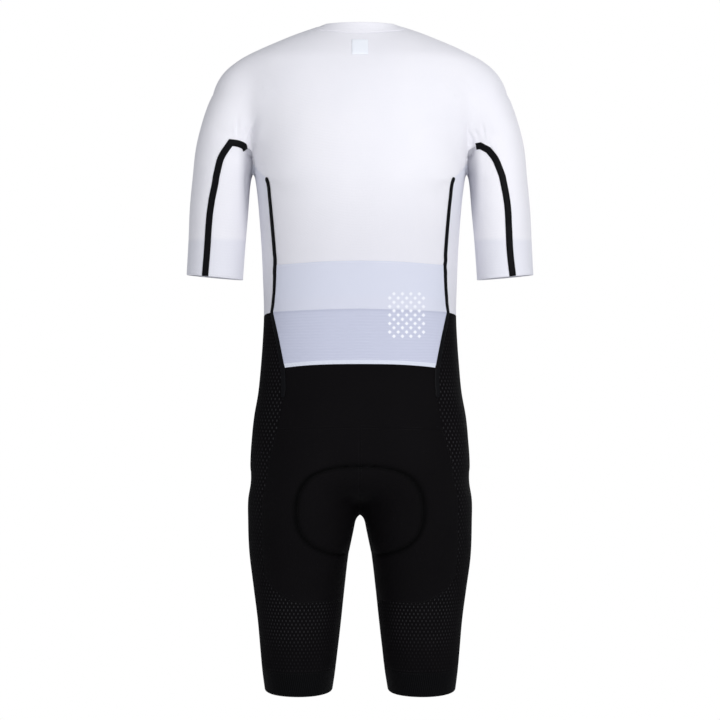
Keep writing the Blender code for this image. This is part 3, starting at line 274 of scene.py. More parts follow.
def steps(points):
    """The distances from each point of a line to the next."""
    return np.linalg.norm(np.diff(points[:, :3], axis=0), axis=1)


def lengths(points):
    """How far along a line each of its points lies."""
    return np.concatenate([[0], np.cumsum(steps(points))])


def evenly(dense, parts):
    """Points of a dense line at the given shares of its length."""
    length = lengths(dense)
    reach = np.asarray(parts) * length[-1]
    return np.stack([np.interp(reach, length, values) for values in dense.T], axis=1)


def line(points, parts):
    """A smooth line on the form through points, cut at shares of its length, or in a number of steps."""
    parts = shares(parts) if isinstance(parts, int) else parts
    points = [np.asarray(p, float) for p in points]
    chain = [2 * points[0] - points[1], *points, 2 * points[-1] - points[-2]]
    dense = []
    for a, b, c, d in zip(chain, chain[1:], chain[2:], chain[3:]):
        for t in np.linspace(0, 1, 24, endpoint=False):
            curve = (2 * a - 5 * b + 4 * c - d) * t**2 + (3 * b - a - 3 * c + d) * t**3
            dense.append(0.5 * (2 * b + (c - a) * t + curve))
    dense.append(points[-1])
    spaced = onto_form(evenly(onto_form(dense), parts))
    spaced[0], spaced[-1] = points[0], points[-1]
    return spaced


def mirrored(points):
    """Points of the other side. Their place in the cloth, in the last two columns, is turned over as well."""
    return points * np.array([-1.0, 1.0, 1.0, -1.0, 1.0])[: points.shape[-1]]


Fold = namedtuple("Fold", "points width rise")
FOLDS = []
LEFT, RIGHT, BOTH = (1,), (-1,), (1, -1)


def crease(width, rise, sides, *way):
    """A soft ridge along a way on the form, in millimetres, or a trough where rise is below zero."""
    points = line(way, np.linspace(0, 1, 24))
    for side in sides:
        FOLDS.append(Fold(points if side > 0 else mirrored(points), width, rise))


def creases(place, *rows):
    """Creases through points that place finds. Each row holds a width, rise, sides and points."""
    for width, rise, sides, *way in rows:
        crease(width, rise, sides, *[place(*point) for point in way])


Ease = namedtuple("Ease", "z rise")
HIP_EASE = [  # the cloth runs smoothly over the join of trunk and legs, front and back
    Ease(-590, 0),
    Ease(-616, -0.8),
    Ease(-628, -2.1),
    Ease(-638, -2.8),
    Ease(-648, -1.9),
    Ease(-656, -0.6),
    Ease(-664, 0.6),
    Ease(-673, 1.2),
    Ease(-684, 0.6),
    Ease(-705, 0),
]
EASE_DEPTH = 60.0  # at the sides, where the join is nearer to the middle than this, it is eased less
SWELL, RIPPLE = 0.22, 0.16  # how far the whole cloth stands uneven, broadly and finely


def folds(points):
    """How far the cloth stands out from the form at points."""
    x, y, z = points[:, 0], points[:, 1], points[:, 2]
    rise = SWELL * np.sin(x / 23 + 1.3 * np.sin(z / 41)) * np.sin(z / 29 + 0.9 * np.sin(y / 37))
    rise += RIPPLE * np.sin(x / 9.5 + z / 31) * np.sin(z / 47 - y / 19)
    rise += column(HIP_EASE, "rise", z) * np.clip(np.abs(y) / EASE_DEPTH, 0, 1)
    for fold in FOLDS:
        reach = 3 * fold.width
        low, high = fold.points.min(axis=0) - reach, fold.points.max(axis=0) + reach
        close = np.nonzero(((points > low) & (points < high)).all(axis=1))[0]
        if len(close) == 0:
            continue
        gaps = np.linalg.norm(points[close, None] - fold.points[None], axis=2)
        along = gaps.argmin(axis=1) / (len(fold.points) - 1)
        taper = np.clip(4 * along * (1 - along), 0, 1) ** 0.8
        rise[close] += fold.rise * taper * np.exp(-((gaps.min(axis=1) / fold.width) ** 2))
    return rise


# the collar leans in over the shoulders
creases(near, (9, -4.0, BOTH, (50, 30, 31), (60, -3, 31), (52, -38, 20)))
# the cloth spans the hollow behind each arm, with a fold from the armpit up over the shoulder blade
creases(
    rear,
    (19, 4.6, BOTH, (159, -190), (154, -142), (154, -98), (140, -56)),
    (5, -1.7, LEFT, (169, -164), (161, -134), (150, -100)),
    (7, 0.9, LEFT, (157, -165), (149, -136), (138, -108)),
    (5.5, -1.3, RIGHT, (169, -164), (162, -128), (152, -102)),
    (8, 0.7, RIGHT, (157, -170), (149, -138), (140, -112)),
)
# the fold that goes on down to the armpit, and the hollow inside the sleeve below it
armpit_fold = [rear(171.5, -146), rear(168.5, -162)]
armpit_fold += [near(162, 34, -182), near(161, 22, -197), near(161, 8, -204)]
crease(3.2, -5.5, BOTH, *armpit_fold)
creases(
    rear,
    (4.5, -3.0, LEFT, (172, -162), (169.5, -190), (170, -230)),
    (5.0, -1.4, RIGHT, (173, -168), (170.5, -190), (171, -218)),
)
# puckers above the kink of the sleeve tape
PUCKERS = [  # where each starts, how tall it is and its rise
    (170, -144, 24, -1.6),
    (177, -141, 19, -2.0),
    (184, -140, 32, -2.3),
    (190, -138, 22, -2.3),
    (196, -139, 20, -2.2),
    (203, -141, 24, -1.9),
]
PUCKER_MIDDLE, PUCKER_LEAN = 184, 0.9  # they fan out from the middle one
for x, z, tall, rise in PUCKERS:
    lean = (x - PUCKER_MIDDLE) * PUCKER_LEAN
    creases(
        rear,
        (2.3, rise, LEFT, (x, z), (x + lean / 2, z + tall / 2), (x + lean, z + tall)),
        (2.6, rise * 0.7, RIGHT, (x + 2, z), (x + 1 + lean / 2, z + tall * 0.4), (x + lean, z + tall * 0.7)),
    )
# fine pulls beside the armpits and the tops of the back tapes
ARMPIT_PULLS = [  # where each starts, how far it runs inward and up, and its rise
    (166, -150, 14, 22, -1.2),
    (164, -160, 18, 16, -1.3),
    (158, -186, 16, 7, -1.3),
    (154, -196, 13, -6, -1.1),
]
for x, z, wide, tall, rise in ARMPIT_PULLS:
    creases(
        rear,
        (2.4, rise, LEFT, (x, z), (x - wide / 2, z + tall / 2), (x - wide, z + tall)),
        (2.6, rise * 0.8, RIGHT, (x, z - 3), (x - wide / 2, z + tall / 2 - 1), (x - wide * 0.8, z + tall)),
    )
creases(
    rear,
    (5, -0.8, LEFT, (196, -150), (188, -168), (178, -178)),
    (5, -0.7, RIGHT, (197, -151), (190, -165), (183, -176)),
    # pulls on the side panels below the arms
    (4, -0.8, RIGHT, (136, -270), (142, -279), (148, -292)),
    (4, -0.7, RIGHT, (135, -286), (141, -297), (147, -310)),
    (3.5, -0.5, RIGHT, (134, -300), (139, -312), (145, -327)),
    (5, -0.5, LEFT, (136, -262), (142, -276), (149, -285)),
    (4, -0.5, LEFT, (131, -318), (138, -332), (145, -343)),
    # the small of the back and the seat settle in level, shallow waves
    (9, -0.6, BOTH, (118, -398), (126, -392), (136, -388)),
    (8, -0.5, LEFT, (121, -455), (130, -450), (140, -452)),
    (10, 0.6, BOTH, (124, -528), (134, -524), (146, -530)),
    (7, -0.9, LEFT, (112, -520), (121, -531), (134, -540)),
    (7, -0.8, RIGHT, (110, -524), (121, -531), (136, -536)),
    (10, -0.9, LEFT, (6, -560), (34, -552), (70, -556)),
    (11, -0.8, RIGHT, (10, -548), (42, -541), (82, -548)),
    # the seat and the backs of the legs
    (9, -1.6, LEFT, (9, -668), (24, -690), (48, -704)),
    (9, -1.4, RIGHT, (9, -672), (26, -693), (56, -703)),
    (7, -0.9, LEFT, (22, -742), (44, -752), (74, -757)),
    (8, -0.8, RIGHT, (24, -748), (50, -760), (82, -761)),
    (8, -0.9, LEFT, (40, -852), (66, -858), (104, -854)),
    (8, -0.8, RIGHT, (44, -866), (72, -870), (112, -861)),
    (6, -0.6, BOTH, (60, -884), (84, -889), (108, -885)),
)
# the front: from armpits to chest, across the waist, and at the groin
creases(
    fore,
    (8, -1.5, LEFT, (158, -165), (149, -128), (132, -92)),
    (8, -1.3, RIGHT, (158, -168), (147, -133), (134, -104)),
    (10, 0.8, BOTH, (146, -178), (133, -140), (118, -112)),
    (9, -0.8, LEFT, (140, -300), (112, -308), (76, -302)),
    (9, -0.7, RIGHT, (138, -316), (108, -322), (82, -318)),
    (11, -0.9, LEFT, (122, -380), (84, -388), (40, -384)),
    (10, -0.8, RIGHT, (126, -372), (92, -377), (50, -372)),
    (10, -1.0, BOTH, (120, -470), (82, -474), (34, -468)),
)
creases(
    near,
    (8, -1.8, LEFT, (112, -90, -640), (76, -92, -668), (40, -66, -690)),
    (8, -1.6, RIGHT, (118, -88, -634), (80, -92, -662), (46, -72, -688)),
)
creases(
    fore,
    (8, -0.9, BOTH, (40, -786), (72, -792), (108, -786)),
    (8, -0.8, LEFT, (52, -874), (84, -881), (118, -874)),
    (8, -0.8, RIGHT, (56, -866), (90, -872), (122, -868)),
)
# the bends of the sleeves
creases(
    rear,
    (6, -0.7, LEFT, (208, -236), (224, -241), (246, -238)),
    (6, -0.5, RIGHT, (206, -262), (224, -270), (240, -266)),
)
creases(
    near,
    (6, -0.8, BOTH, (230, -40, -226), (206, -48, -236), (182, -38, -230)),
    (5, -0.6, BOTH, (232, -38, -300), (212, -47, -306), (190, -40, -300)),
)

# ---------------------------------------------------------------- back panel
# The back is one piece of thin white knit. It runs over the shoulders and the outsides of the arms to the
# raglan seams and the cuffs. Its edges roll a little where they are sewn to the pieces beside it.

BACK, SIDE, FRONT = 46, 36, 38  # steps across each part of the trunk
OVER = (16, 16, 30)  # steps over the arm: crease to tape, tape to crown, crown to raglan seam
TO_KINK, TO_ARMPIT, TO_CUFF = 46, 14, 40  # steps down
TO_POCKET, TO_BELT, TO_TAIL, POCKET_BODY, POCKET_EDGE, YOKE = 36, 20, 13, 9, 3, 28
ZIP_OPENING = 4.5  # from the zip's middle to the edge of a front

NeckPoint = namedtuple("NeckPoint", "z seam top")  # z holds the angle
NECK_LINE = [
    NeckPoint(-90, 25, 29.5),
    NeckPoint(-54, 18, 28.8),
    NeckPoint(0, 12.5, 29),
    NeckPoint(54, 18, 28.8),
    NeckPoint(90, 25, 29.5),
    NeckPoint(126, -2, 14),
    NeckPoint(155, -36, -18),
    NeckPoint(180, -48, -30),
    NeckPoint(205, -36, -18),
]
NECK_MIDDLE, NECK_DEPTH = -3.0, 58.0
ZIP_ANGLE = 180 - math.degrees(math.atan(ZIP_OPENING / NECK_DEPTH))
NECK_STOPS = [0, 54, 72, 90, 126, ZIP_ANGLE]
NECK_STEPS = [BACK, *OVER, FRONT]


def neck_point(name, angle):
    """A point of the collar's seam or top, at an angle from the centre back round to the centre front."""
    turn = math.radians(angle)
    height = float(np.interp(angle, *carried(NECK_LINE, name)))
    return first_on(
        lambda r: straight([0, NECK_MIDDLE, height], [math.sin(turn), math.cos(turn), 0], r), 20, 140, sign=-1
    )


def neck_run(name, part):
    """The collar's seam or top between two of the NECK_STOPS."""
    start, stop = NECK_STOPS[part : part + 2]
    return np.array([neck_point(name, a) for a in start + (stop - start) * shares(NECK_STEPS[part])])


def spread(points):
    """A grid with two more columns: how far along and down the flat cloth each point lies, in metres."""
    across = np.linalg.norm(np.diff(points, axis=1), axis=2).cumsum(axis=1)
    down = np.linalg.norm(np.diff(points, axis=0), axis=2).cumsum(axis=0)
    across = np.concatenate([np.zeros((len(points), 1)), across], axis=1)
    down = np.concatenate([np.zeros((1, points.shape[1])), down], axis=0)
    return np.concatenate([points, np.stack([across, down], axis=2) * MM], axis=2)


def grid(top, bottom, left, right):
    """A grid of points on the form between four lines. Its rows run from left to right."""
    across = evenly_placed(top)[None, :, None]
    down = evenly_placed(left)[:, None, None]
    corners = (1 - down) * ((1 - across) * top[0] + across * top[-1])
    corners += down * ((1 - across) * bottom[0] + across * bottom[-1])
    points = (1 - down) * top + down * bottom + (1 - across) * left[:, None]
    points += across * right[:, None] - corners
    points[1:-1, 1:-1] = onto_form(points[1:-1, 1:-1], 12)
    for _ in range(2):
        points[2:-2, 2:-2] += (
            points[1:-3, 2:-2] + points[3:-1, 2:-2] + points[2:-2, 1:-3] + points[2:-2, 3:-1]
        ) / 8 - points[2:-2, 2:-2] / 2
        points[1:-1, 1:-1] = onto_form(points[1:-1, 1:-1], 3)
    return spread(points)


def evenly_placed(points):
    """The shares of a line's length at which its points lie."""
    return lengths(points) / steps(points).sum()


def strip(top, bottom, rows):
    """A grid between two lines, whose ends are joined by plain lines on the form."""
    return grid(top, bottom, *[line([top[end], bottom[end]], rows) for end in (0, -1)])


def stacked(*grids):
    """Grids that follow each other downwards, as one."""
    whole = grids[0]
    for lower in grids[1:]:
        lower = lower.copy()
        lower[..., 3] += whole[-1, 0, 3] - lower[0, 0, 3]
        lower[..., 4] += whole[-1, :, 4] - lower[0, :, 4]
        whole = np.concatenate([whole, lower[1:]], axis=0)
    return whole


def beside(*grids):
    """Grids that follow each other across, as one."""
    whole = grids[0]
    for further in grids[1:]:
        further = further.copy()
        further[..., 3] += (whole[:, -1, 3] - further[:, 0, 3])[:, None]
        whole = np.concatenate([whole, further[:, 1:]], axis=1)
    return whole


NECK_SEAM = [neck_run("seam", part) for part in range(5)]
N_CB, N_CREASE, N_TAPE, N_CROWN, N_RAGLAN = (run[0] for run in NECK_SEAM)
N_CF = NECK_SEAM[4][-1]
TAPE_START, TAPE_KINK = rear(171.5, -153), rear(192.3, -146.3)
CROWN_KINK, RAGLAN_KINK = near(243, 0, -146), fore(161, -138)
BACK_KINK, FRONT_KINK = rear(0, -150), fore(ZIP_OPENING, -150)
ARMPIT_BACK, ARMPIT_FRONT, UNDERARM = fork(160.5, 18), fork(161, -15), fork(160.5, 0)
TAPE_ARMPIT, CROWN_ARMPIT = rear(214.3, -197), near(250.5, 0, -192)
BACK_ARMPIT, FRONT_ARMPIT = rear(0, -200), fore(ZIP_OPENING, -205)

CREASE_UPPER = line([N_CREASE, rear(104, -30), rear(146, -86), TAPE_START], TO_KINK)
CREASE_LOWER = line([TAPE_START, fork(161.5, 28), ARMPIT_BACK], TO_ARMPIT)
TAPE_UPPER = line([N_TAPE, rear(122, -24), rear(172, -72), TAPE_KINK], TO_KINK)
TAPE_LOWER = line([TAPE_KINK, rear(202.5, -166), rear(208.6, -182), TAPE_ARMPIT], TO_ARMPIT)
CROWN_UPPER = line(
    [N_CROWN, near(122, 3, 4), near(175, 3, -20), near(213, 2, -56), near(232, 1, -100), CROWN_KINK], TO_KINK
)
CROWN_LOWER = line([CROWN_KINK, CROWN_ARMPIT], TO_ARMPIT)
RAGLAN_UPPER = line([N_RAGLAN, fore(82, -32), fore(126, -84), RAGLAN_KINK], TO_KINK)
RAGLAN_LOWER = line([RAGLAN_KINK, fork(161, -27), ARMPIT_FRONT], TO_ARMPIT)
CENTRE_BACK_UPPER = line([N_CB, rear(0, -60), BACK_KINK], TO_KINK)
CENTRE_BACK_LOWER = line([BACK_KINK, BACK_ARMPIT], TO_ARMPIT)

KINK_ROW = [
    line([BACK_KINK, rear(95, -151), TAPE_START], BACK),
    line([TAPE_START, rear(183, -147.6), TAPE_KINK], OVER[0]),
    line([TAPE_KINK, near(232, 30, -147), CROWN_KINK], OVER[1]),
    line([CROWN_KINK, near(228, -35, -148), near(195, -48, -150), RAGLAN_KINK], OVER[2]),
    line([RAGLAN_KINK, fore(100, -150), FRONT_KINK], FRONT),
]
ARMPIT_ROW = [
    line([BACK_ARMPIT, rear(95, -201), rear(138, -199), ARMPIT_BACK], BACK),
    line([ARMPIT_BACK, near(182, 42, -195), TAPE_ARMPIT], OVER[0]),
    line([TAPE_ARMPIT, near(240, 30, -194), CROWN_ARMPIT], OVER[1]),
    line([CROWN_ARMPIT, near(235, -35, -194), near(195, -46, -196), ARMPIT_FRONT], OVER[2]),
    line([ARMPIT_FRONT, fore(138, -202), fore(80, -205), FRONT_ARMPIT], FRONT),
]

# the cuff dips towards the body
CUFF_OUTER, CUFF_INNER = (259.5, -345.0), (177.0, -352.5)
CUFF_CENTRE = (217.6, -4.0)
CUFF_ANGLES = [150, 74, 0, -145]  # of the crease, the tape, the crown and the raglan seam


def cuff_point(angle):
    z = CUFF_OUTER[1]
    for _ in range(2):
        point = around(*CUFF_CENTRE, angle, z)
        share = (CUFF_OUTER[0] - point[0]) / (CUFF_OUTER[0] - CUFF_INNER[0])
        z = CUFF_OUTER[1] + share * (CUFF_INNER[1] - CUFF_OUTER[1])
    return around(*CUFF_CENTRE, angle, z)


def cuff_run(start, stop, count):
    return np.array([cuff_point(a) for a in start + (stop - start) * shares(count)])


CUFF = [cuff_run(*CUFF_ANGLES[k : k + 2], OVER[k]) for k in range(3)]
SLEEVE_TAPE_LINE = line(
    [TAPE_ARMPIT, rear(222.8, -235.5), rear(226.6, -268), rear(229.4, -310), CUFF[1][0]], TO_CUFF
)
SLEEVE_CROWN = line([CROWN_ARMPIT, near(256, 0, -270), CUFF[2][0]], TO_CUFF)
SLEEVE_FRONT = line([ARMPIT_FRONT, near(173, -24, -218), near(178, -28, -280), CUFF[2][-1]], TO_CUFF)

# the trunk's side seam, down to the lower edge of the back
POCKET_TOP_SIDE, BELT_BACK = rear(127.3, -330), rear(132, -401)
TAIL_SIDE = rear(123, -446)
side_way = [rear(139.5, -202), rear(135, -232.5), rear(131.5, -268), rear(128.6, -305)]
BACK_SIDE_UPPER = line([ARMPIT_BACK, near(150, 38, -188), *side_way, POCKET_TOP_SIDE], TO_POCKET)
BACK_SIDE_POCKET = line([POCKET_TOP_SIDE, rear(128.6, -370), BELT_BACK], TO_BELT)
BACK_SIDE_TAIL = line([BELT_BACK, TAIL_SIDE], TO_TAIL)
POCKET_TOP_ROW = line([rear(0, -323.2), rear(64, -325.2), POCKET_TOP_SIDE], BACK)
BELT_ROW_BACK = line([rear(0, -395.4), rear(68, -397.2), BELT_BACK], BACK)
TAIL_ROW = line([rear(0, -441), rear(62, -442.5), TAIL_SIDE], BACK)
CENTRE_BACK_POCKET = line([BACK_ARMPIT, rear(0, -262), POCKET_TOP_ROW[0]], TO_POCKET)
CENTRE_BACK_BELT = line([POCKET_TOP_ROW[0], BELT_ROW_BACK[0]], TO_BELT)
CENTRE_BACK_TAIL = line([BELT_ROW_BACK[0], TAIL_ROW[0]], TO_TAIL)

SHOULDER_SIDES = [CENTRE_BACK_UPPER, CREASE_UPPER, TAPE_UPPER, CROWN_UPPER, RAGLAN_UPPER]
SHOULDER = beside(
    *[grid(NECK_SEAM[k], KINK_ROW[k], SHOULDER_SIDES[k], SHOULDER_SIDES[k + 1]) for k in range(4)]
)
OVER_ARM = beside(
    grid(KINK_ROW[2], ARMPIT_ROW[2], TAPE_LOWER, CROWN_LOWER),
    grid(KINK_ROW[3], ARMPIT_ROW[3], CROWN_LOWER, RAGLAN_LOWER),
)
SLEEVE_OUTER = beside(
    grid(ARMPIT_ROW[2], CUFF[1], SLEEVE_TAPE_LINE, SLEEVE_CROWN),
    grid(ARMPIT_ROW[3], CUFF[2], SLEEVE_CROWN, SLEEVE_FRONT),
)
BACK_UPPER_POCKET = grid(POCKET_TOP_ROW, BELT_ROW_BACK, CENTRE_BACK_BELT, BACK_SIDE_POCKET)
BACK_TAIL = grid(BELT_ROW_BACK, TAIL_ROW, CENTRE_BACK_TAIL, BACK_SIDE_TAIL)
at_crease = len(NECK_SEAM[0]) - 1
at_tape = at_crease + len(NECK_SEAM[1]) - 1
BACK_CENTRE = stacked(
    SHOULDER[:, : at_crease + 1],
    grid(KINK_ROW[0], ARMPIT_ROW[0], CENTRE_BACK_LOWER, CREASE_LOWER),
    grid(ARMPIT_ROW[0], POCKET_TOP_ROW, CENTRE_BACK_POCKET, BACK_SIDE_UPPER),
    BACK_UPPER_POCKET,
    BACK_TAIL,
)
BACK_ARM = stacked(SHOULDER[:, at_tape:], OVER_ARM, SLEEVE_OUTER)

Sheet = namedtuple("Sheet", "points faces places")
ON_CENTRE = 0.05  # nearer to the middle than this, a point is on it


def both_sides(*grids):
    return [*grids, *[mirrored(g) for g in grids]]


def sewn(grids):
    """Grids sewn into one sheet: points that meet are one point. Faces are wound to face outward, and each
    corner keeps its place in the flat cloth."""
    everything = np.concatenate([g.reshape(-1, 5) for g in grids])
    everything[np.abs(everything[:, 0]) < ON_CENTRE, 0] = 0
    rounded = np.round(everything[:, :3], 2) + 0.0
    _, first, known = np.unique(rounded, axis=0, return_index=True, return_inverse=True)
    known = known.reshape(-1)
    cells = []
    start = 0
    for g in grids:
        numbers = start + np.arange(g.shape[0] * g.shape[1]).reshape(g.shape[:2])
        start += numbers.size
        made = np.stack([numbers[:-1, :-1], numbers[:-1, 1:], numbers[1:, 1:], numbers[1:, :-1]], axis=2)
        made = made.reshape(-1, 4)
        corners = everything[made, :3]
        faces = np.cross(corners[:, 2] - corners[:, 0], corners[:, 3] - corners[:, 1])
        facing = (faces * outward(corners.mean(axis=1))).sum()
        cells.append(made if facing > 0 else made[:, ::-1])
    faces, places = [], []
    for cell in np.concatenate(cells):
        ring = [k for j, k in enumerate(cell) if known[k] != known[cell[j - 1]]]
        if len(ring) > 2:
            faces.append([int(known[k]) for k in ring])
            places += [everything[k, 3:] for k in ring]
    return Sheet(everything[first, :3], faces, np.array(places))


def border(faces):
    """The directed edges that belong to one face."""
    edges = {(a, b) for face in faces for a, b in zip(face, (*face[1:], face[0]))}
    return sorted((a, b) for a, b in edges if (b, a) not in edges)


ROLL, ROLL_INSIDE = 0.42, 0.3  # how far a sewn edge turns under, and what share of it shows inside
SHARP = math.radians(50)  # an edge that turns more than this is shaded sharp


def new_piece(name, points, faces, made_of):
    """A piece from points in millimetres."""
    mesh = bpy.data.meshes.new(name)
    mesh.from_pydata(points * MM, [], faces)
    mesh.materials.append(made_of)
    piece = bpy.data.objects.new(name, mesh)
    bpy.context.scene.collection.objects.link(piece)
    return piece


def wall(name, sheet, made_of, outer=0.0, inner=-WALL, roll=ROLL):
    """A closed cloth over a sheet, from inner to outer along the form's normals. Either may vary. A UV map
    holds the places in the flat cloth."""
    points = sheet.points
    normals = outward(points)
    rim = border(sheet.faces)
    rise = folds(points)
    turned = np.zeros(len(points))
    turned[[a for a, b in rim]] = roll
    outside = points + normals * (rise + outer - turned)[:, None]
    inside = points + normals * (rise + inner + turned * ROLL_INSIDE)[:, None]
    count = len(points)
    faces = sheet.faces + [[k + count for k in reversed(face)] for face in sheet.faces]
    faces += [[b, a, a + count, b + count] for a, b in rim]
    place_of = {}
    at = 0
    back_places = []
    for face in sheet.faces:
        places = sheet.places[at : at + len(face)]
        at += len(face)
        place_of.update(zip(face, places))
        back_places.append(places[::-1])
    rim_places = [place_of[k] for a, b in rim for k in (b, a, a, b)]
    places = np.concatenate([sheet.places, *back_places, np.array(rim_places).reshape(-1, 2)])
    piece = new_piece(name, np.concatenate([outside, inside]), faces, made_of)
    piece.data.uv_layers.new(name="cloth").data.foreach_set("uv", places.ravel())
    for polygon in piece.data.polygons:
        polygon.use_smooth = True
    piece.data.set_sharp_from_angle(angle=SHARP)
    return piece


Cut = namedtuple("Cut", "width length area")  # a sheet before it is stretched, in metres


def put_on(piece, slot, cut, *nodes):
    """The piece rides on the suit and stands for its CAD nodes. Its cut is not used."""
    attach(piece, "suit")
    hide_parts(*nodes)


def node(tree, kind, inputs, **settings):
    """The outputs of a new node. Its inputs are linked where they are sockets and set where they are not."""
    made = tree.nodes.new("ShaderNode" + kind)
    for name, value in settings.items():
        setattr(made, name, value)
    for name, value in inputs.items():
        if isinstance(value, bpy.types.NodeSocket):
            tree.links.new(value, made.inputs[name])
        else:
            made.inputs[name].default_value = (*value, 1.0) if isinstance(value, tuple) else value
    return made.outputs


def calc(tree, operation, *terms):
    return node(tree, "Math", dict(enumerate(terms)), operation=operation)[0]


def times(tree, *terms):
    return calc(tree, "MULTIPLY", *terms)


def object_place(tree):
    """The place on the object along X, Y and Z."""
    return node(tree, "SeparateXYZ", {0: node(tree, "TexCoord", {})["Object"]})[:]


def new_finish(name, roughness, gloss=0.5, sheen=0.0, metallic=0.0):
    """A material and its nodes."""
    made = bpy.data.materials.new(name)
    made.use_nodes = True
    shader = made.node_tree.nodes["Principled BSDF"]
    looks = {"Roughness": roughness, "Specular IOR Level": gloss, "Sheen Weight": sheen, "Metallic": metallic}
    for socket, value in looks.items():
        shader.inputs[socket].default_value = value
    return made, made.node_tree


def new_cloth(name, roughness, sheen, gloss):
    """A cloth's material, its nodes, and the places along and down the flat cloth."""
    made, tree = new_finish(name, roughness, gloss, sheen)
    tree.nodes["Principled BSDF"].inputs["Sheen Roughness"].default_value = 0.5
    flat = node(tree, "UVMap", {}, uv_map="cloth")[0]
    along, down = node(tree, "SeparateXYZ", {0: flat})[:2]
    return made, tree, along, down


def wave(tree, place, pitch):
    """A cosine wave from -1 to 1 along a place, each pitch metres."""
    return calc(tree, "COSINE", times(tree, place, math.tau / pitch))


def clouds(tree, scale, detail=2.0):
    """Soft uneven noise over the object, from 0 to 1, with scale patches to the metre."""
    place = node(tree, "TexCoord", {})["Object"]
    return node(tree, "TexNoise", {"Vector": place, "Scale": scale, "Detail": detail})["Fac"]


def mixed(tree, share, low, high):
    """A colour between two, which are colours or sockets."""
    return node(tree, "Mix", {"Factor": share, "A": low, "B": high}, data_type="RGBA")["Result"]


def ranged(tree, value, low, high, to_low=0.0, to_high=1.0):
    """A value carried smoothly from one range to another."""
    ends = {"Value": value, "From Min": low, "From Max": high, "To Min": to_low, "To Max": to_high}
    return node(tree, "MapRange", ends, interpolation_type="SMOOTHSTEP")["Result"]


def finished(made, colour, height, depth):
    """The material with its colour and a relief of depth metres."""
    tree = made.node_tree
    shader = tree.nodes["Principled BSDF"]
    tree.links.new(colour, shader.inputs["Base Color"])
    relief = node(tree, "Bump", {"Strength": 1.0, "Distance": depth, "Height": height})[0]
    tree.links.new(relief, shader.inputs["Normal"])
    return made


def knit_relief(tree, along, down, pitch):
    """The stitches of a fine knit: upright columns of small loops."""
    loops = times(tree, wave(tree, down, pitch), 0.5)
    slanted = calc(tree, "MULTIPLY_ADD", loops, pitch * 0.35, along)
    return calc(tree, "ADD", wave(tree, slanted, pitch * 1.1), loops)


WHITE_BRIGHT, WHITE_DULL = (0.865, 0.855, 0.90), (0.835, 0.828, 0.88)
WHITE_CUFF, WHITE_WAIST_SHADE = (0.745, 0.75, 0.825), (0.765, 0.757, 0.81)
CUFF_BAND_TOP = -0.292  # each sleeve is slightly darker in a band from this height down to the cuff
WAIST_FROM, WAIST_FULL = -0.17, -0.32  # painted shade: the knit gets slightly greyer down the back between these heights, where less light reaches it
ARM_FROM, ARM_FULL = 0.155, 0.165  # this far from the middle the trunk ends and the arms begin
WHITE_ARMPIT_SHADE, UNDER_ARM = (0.40, 0.40, 0.45), 0.163  # painted shade: greyer still on a sleeve's inner side, where the armpit shades it
ARMPIT_SHADE_DEEP, ARMPIT_SHADE_LOW, ARMPIT_SHADE_HIGH = 0.02, -0.30, -0.22
CROSS_RIB, LOOP = 0.0042, 0.0011  # from one rib and one loop of the knit to the next


def white_knit(name, dull, bright, armpit_shade=0.0):
    made, tree, along, down = new_cloth(name, 0.75, 0.1, 0.2)
    ribs = wave(tree, down, CROSS_RIB)
    uneven = calc(tree, "MULTIPLY_ADD", ribs, 0.04, clouds(tree, 9))
    colour = mixed(tree, ranged(tree, uneven, 0.2, 0.8), dull, bright)
    x, _, z = object_place(tree)
    x = calc(tree, "ABSOLUTE", x)
    outside = ranged(tree, x, ARM_FROM, ARM_FULL)
    cuff_band = ranged(tree, z, CUFF_BAND_TOP - 0.006, CUFF_BAND_TOP + 0.004, 0.65, 0.0)
    colour = mixed(tree, times(tree, outside, cuff_band), colour, WHITE_CUFF)
    inside = calc(tree, "SUBTRACT", 1.0, outside)
    # painted shade on the trunk, darker towards the waist
    waist_shade = times(tree, inside, ranged(tree, z, WAIST_FULL, WAIST_FROM, 0.9, 0.0))
    colour = mixed(tree, waist_shade, colour, WHITE_WAIST_SHADE)
    # painted shade on a sleeve's inner side below the armpit: darkest next to the trunk, fading outward and
    # downward
    close = ranged(tree, x, UNDER_ARM, UNDER_ARM + ARMPIT_SHADE_DEEP, armpit_shade, 0.0)
    high = ranged(tree, z, ARMPIT_SHADE_LOW, ARMPIT_SHADE_HIGH)
    colour = mixed(tree, times(tree, close, high), colour, WHITE_ARMPIT_SHADE)
    relief = calc(tree, "MULTIPLY_ADD", ribs, 0.4, knit_relief(tree, along, down, LOOP))
    return finished(made, colour, relief, 0.00005)


WHITE = white_knit("white_knit", WHITE_DULL, WHITE_BRIGHT)
BACK_NODES = ["back_panel", "shoulder_left", "shoulder_right", "sleeve_left", "sleeve_right"]
over_shoulder = SHOULDER[:, at_crease : at_tape + 1]
back = wall("back_cloth", sewn(both_sides(BACK_CENTRE, over_shoulder, BACK_ARM)), WHITE)
put_on(back, "white_knit", Cut(0.75, 0.53, 0.247), *BACK_NODES)

# ---------------------------------------------------------------- collar
# A low band of the same white knit, folded double and sewn round the neck. Its ends meet at the zip, and it
# leans in a little over the shoulders.

COLLAR_ROWS = 8
COLLAR_OUT, COLLAR_IN = 0.25, 0.3  # the folded band is thicker than one cloth, on both faces
NECK_TOP = [neck_run("top", part) for part in range(5)]
COLLAR = beside(*[strip(NECK_TOP[part], NECK_SEAM[part], COLLAR_ROWS) for part in range(5)])
collar = wall("collar_cloth", sewn(both_sides(COLLAR)), WHITE, outer=COLLAR_OUT, inner=-WALL - COLLAR_IN)
put_on(collar, "white_knit", Cut(0.43, 0.019, 0.0066), "collar")

# ---------------------------------------------------------------- sleeves
# The underside of each sleeve is a piece of the white knit. It reaches from the tape to the raglan seam and
# is sewn to the side panel at the armpit.

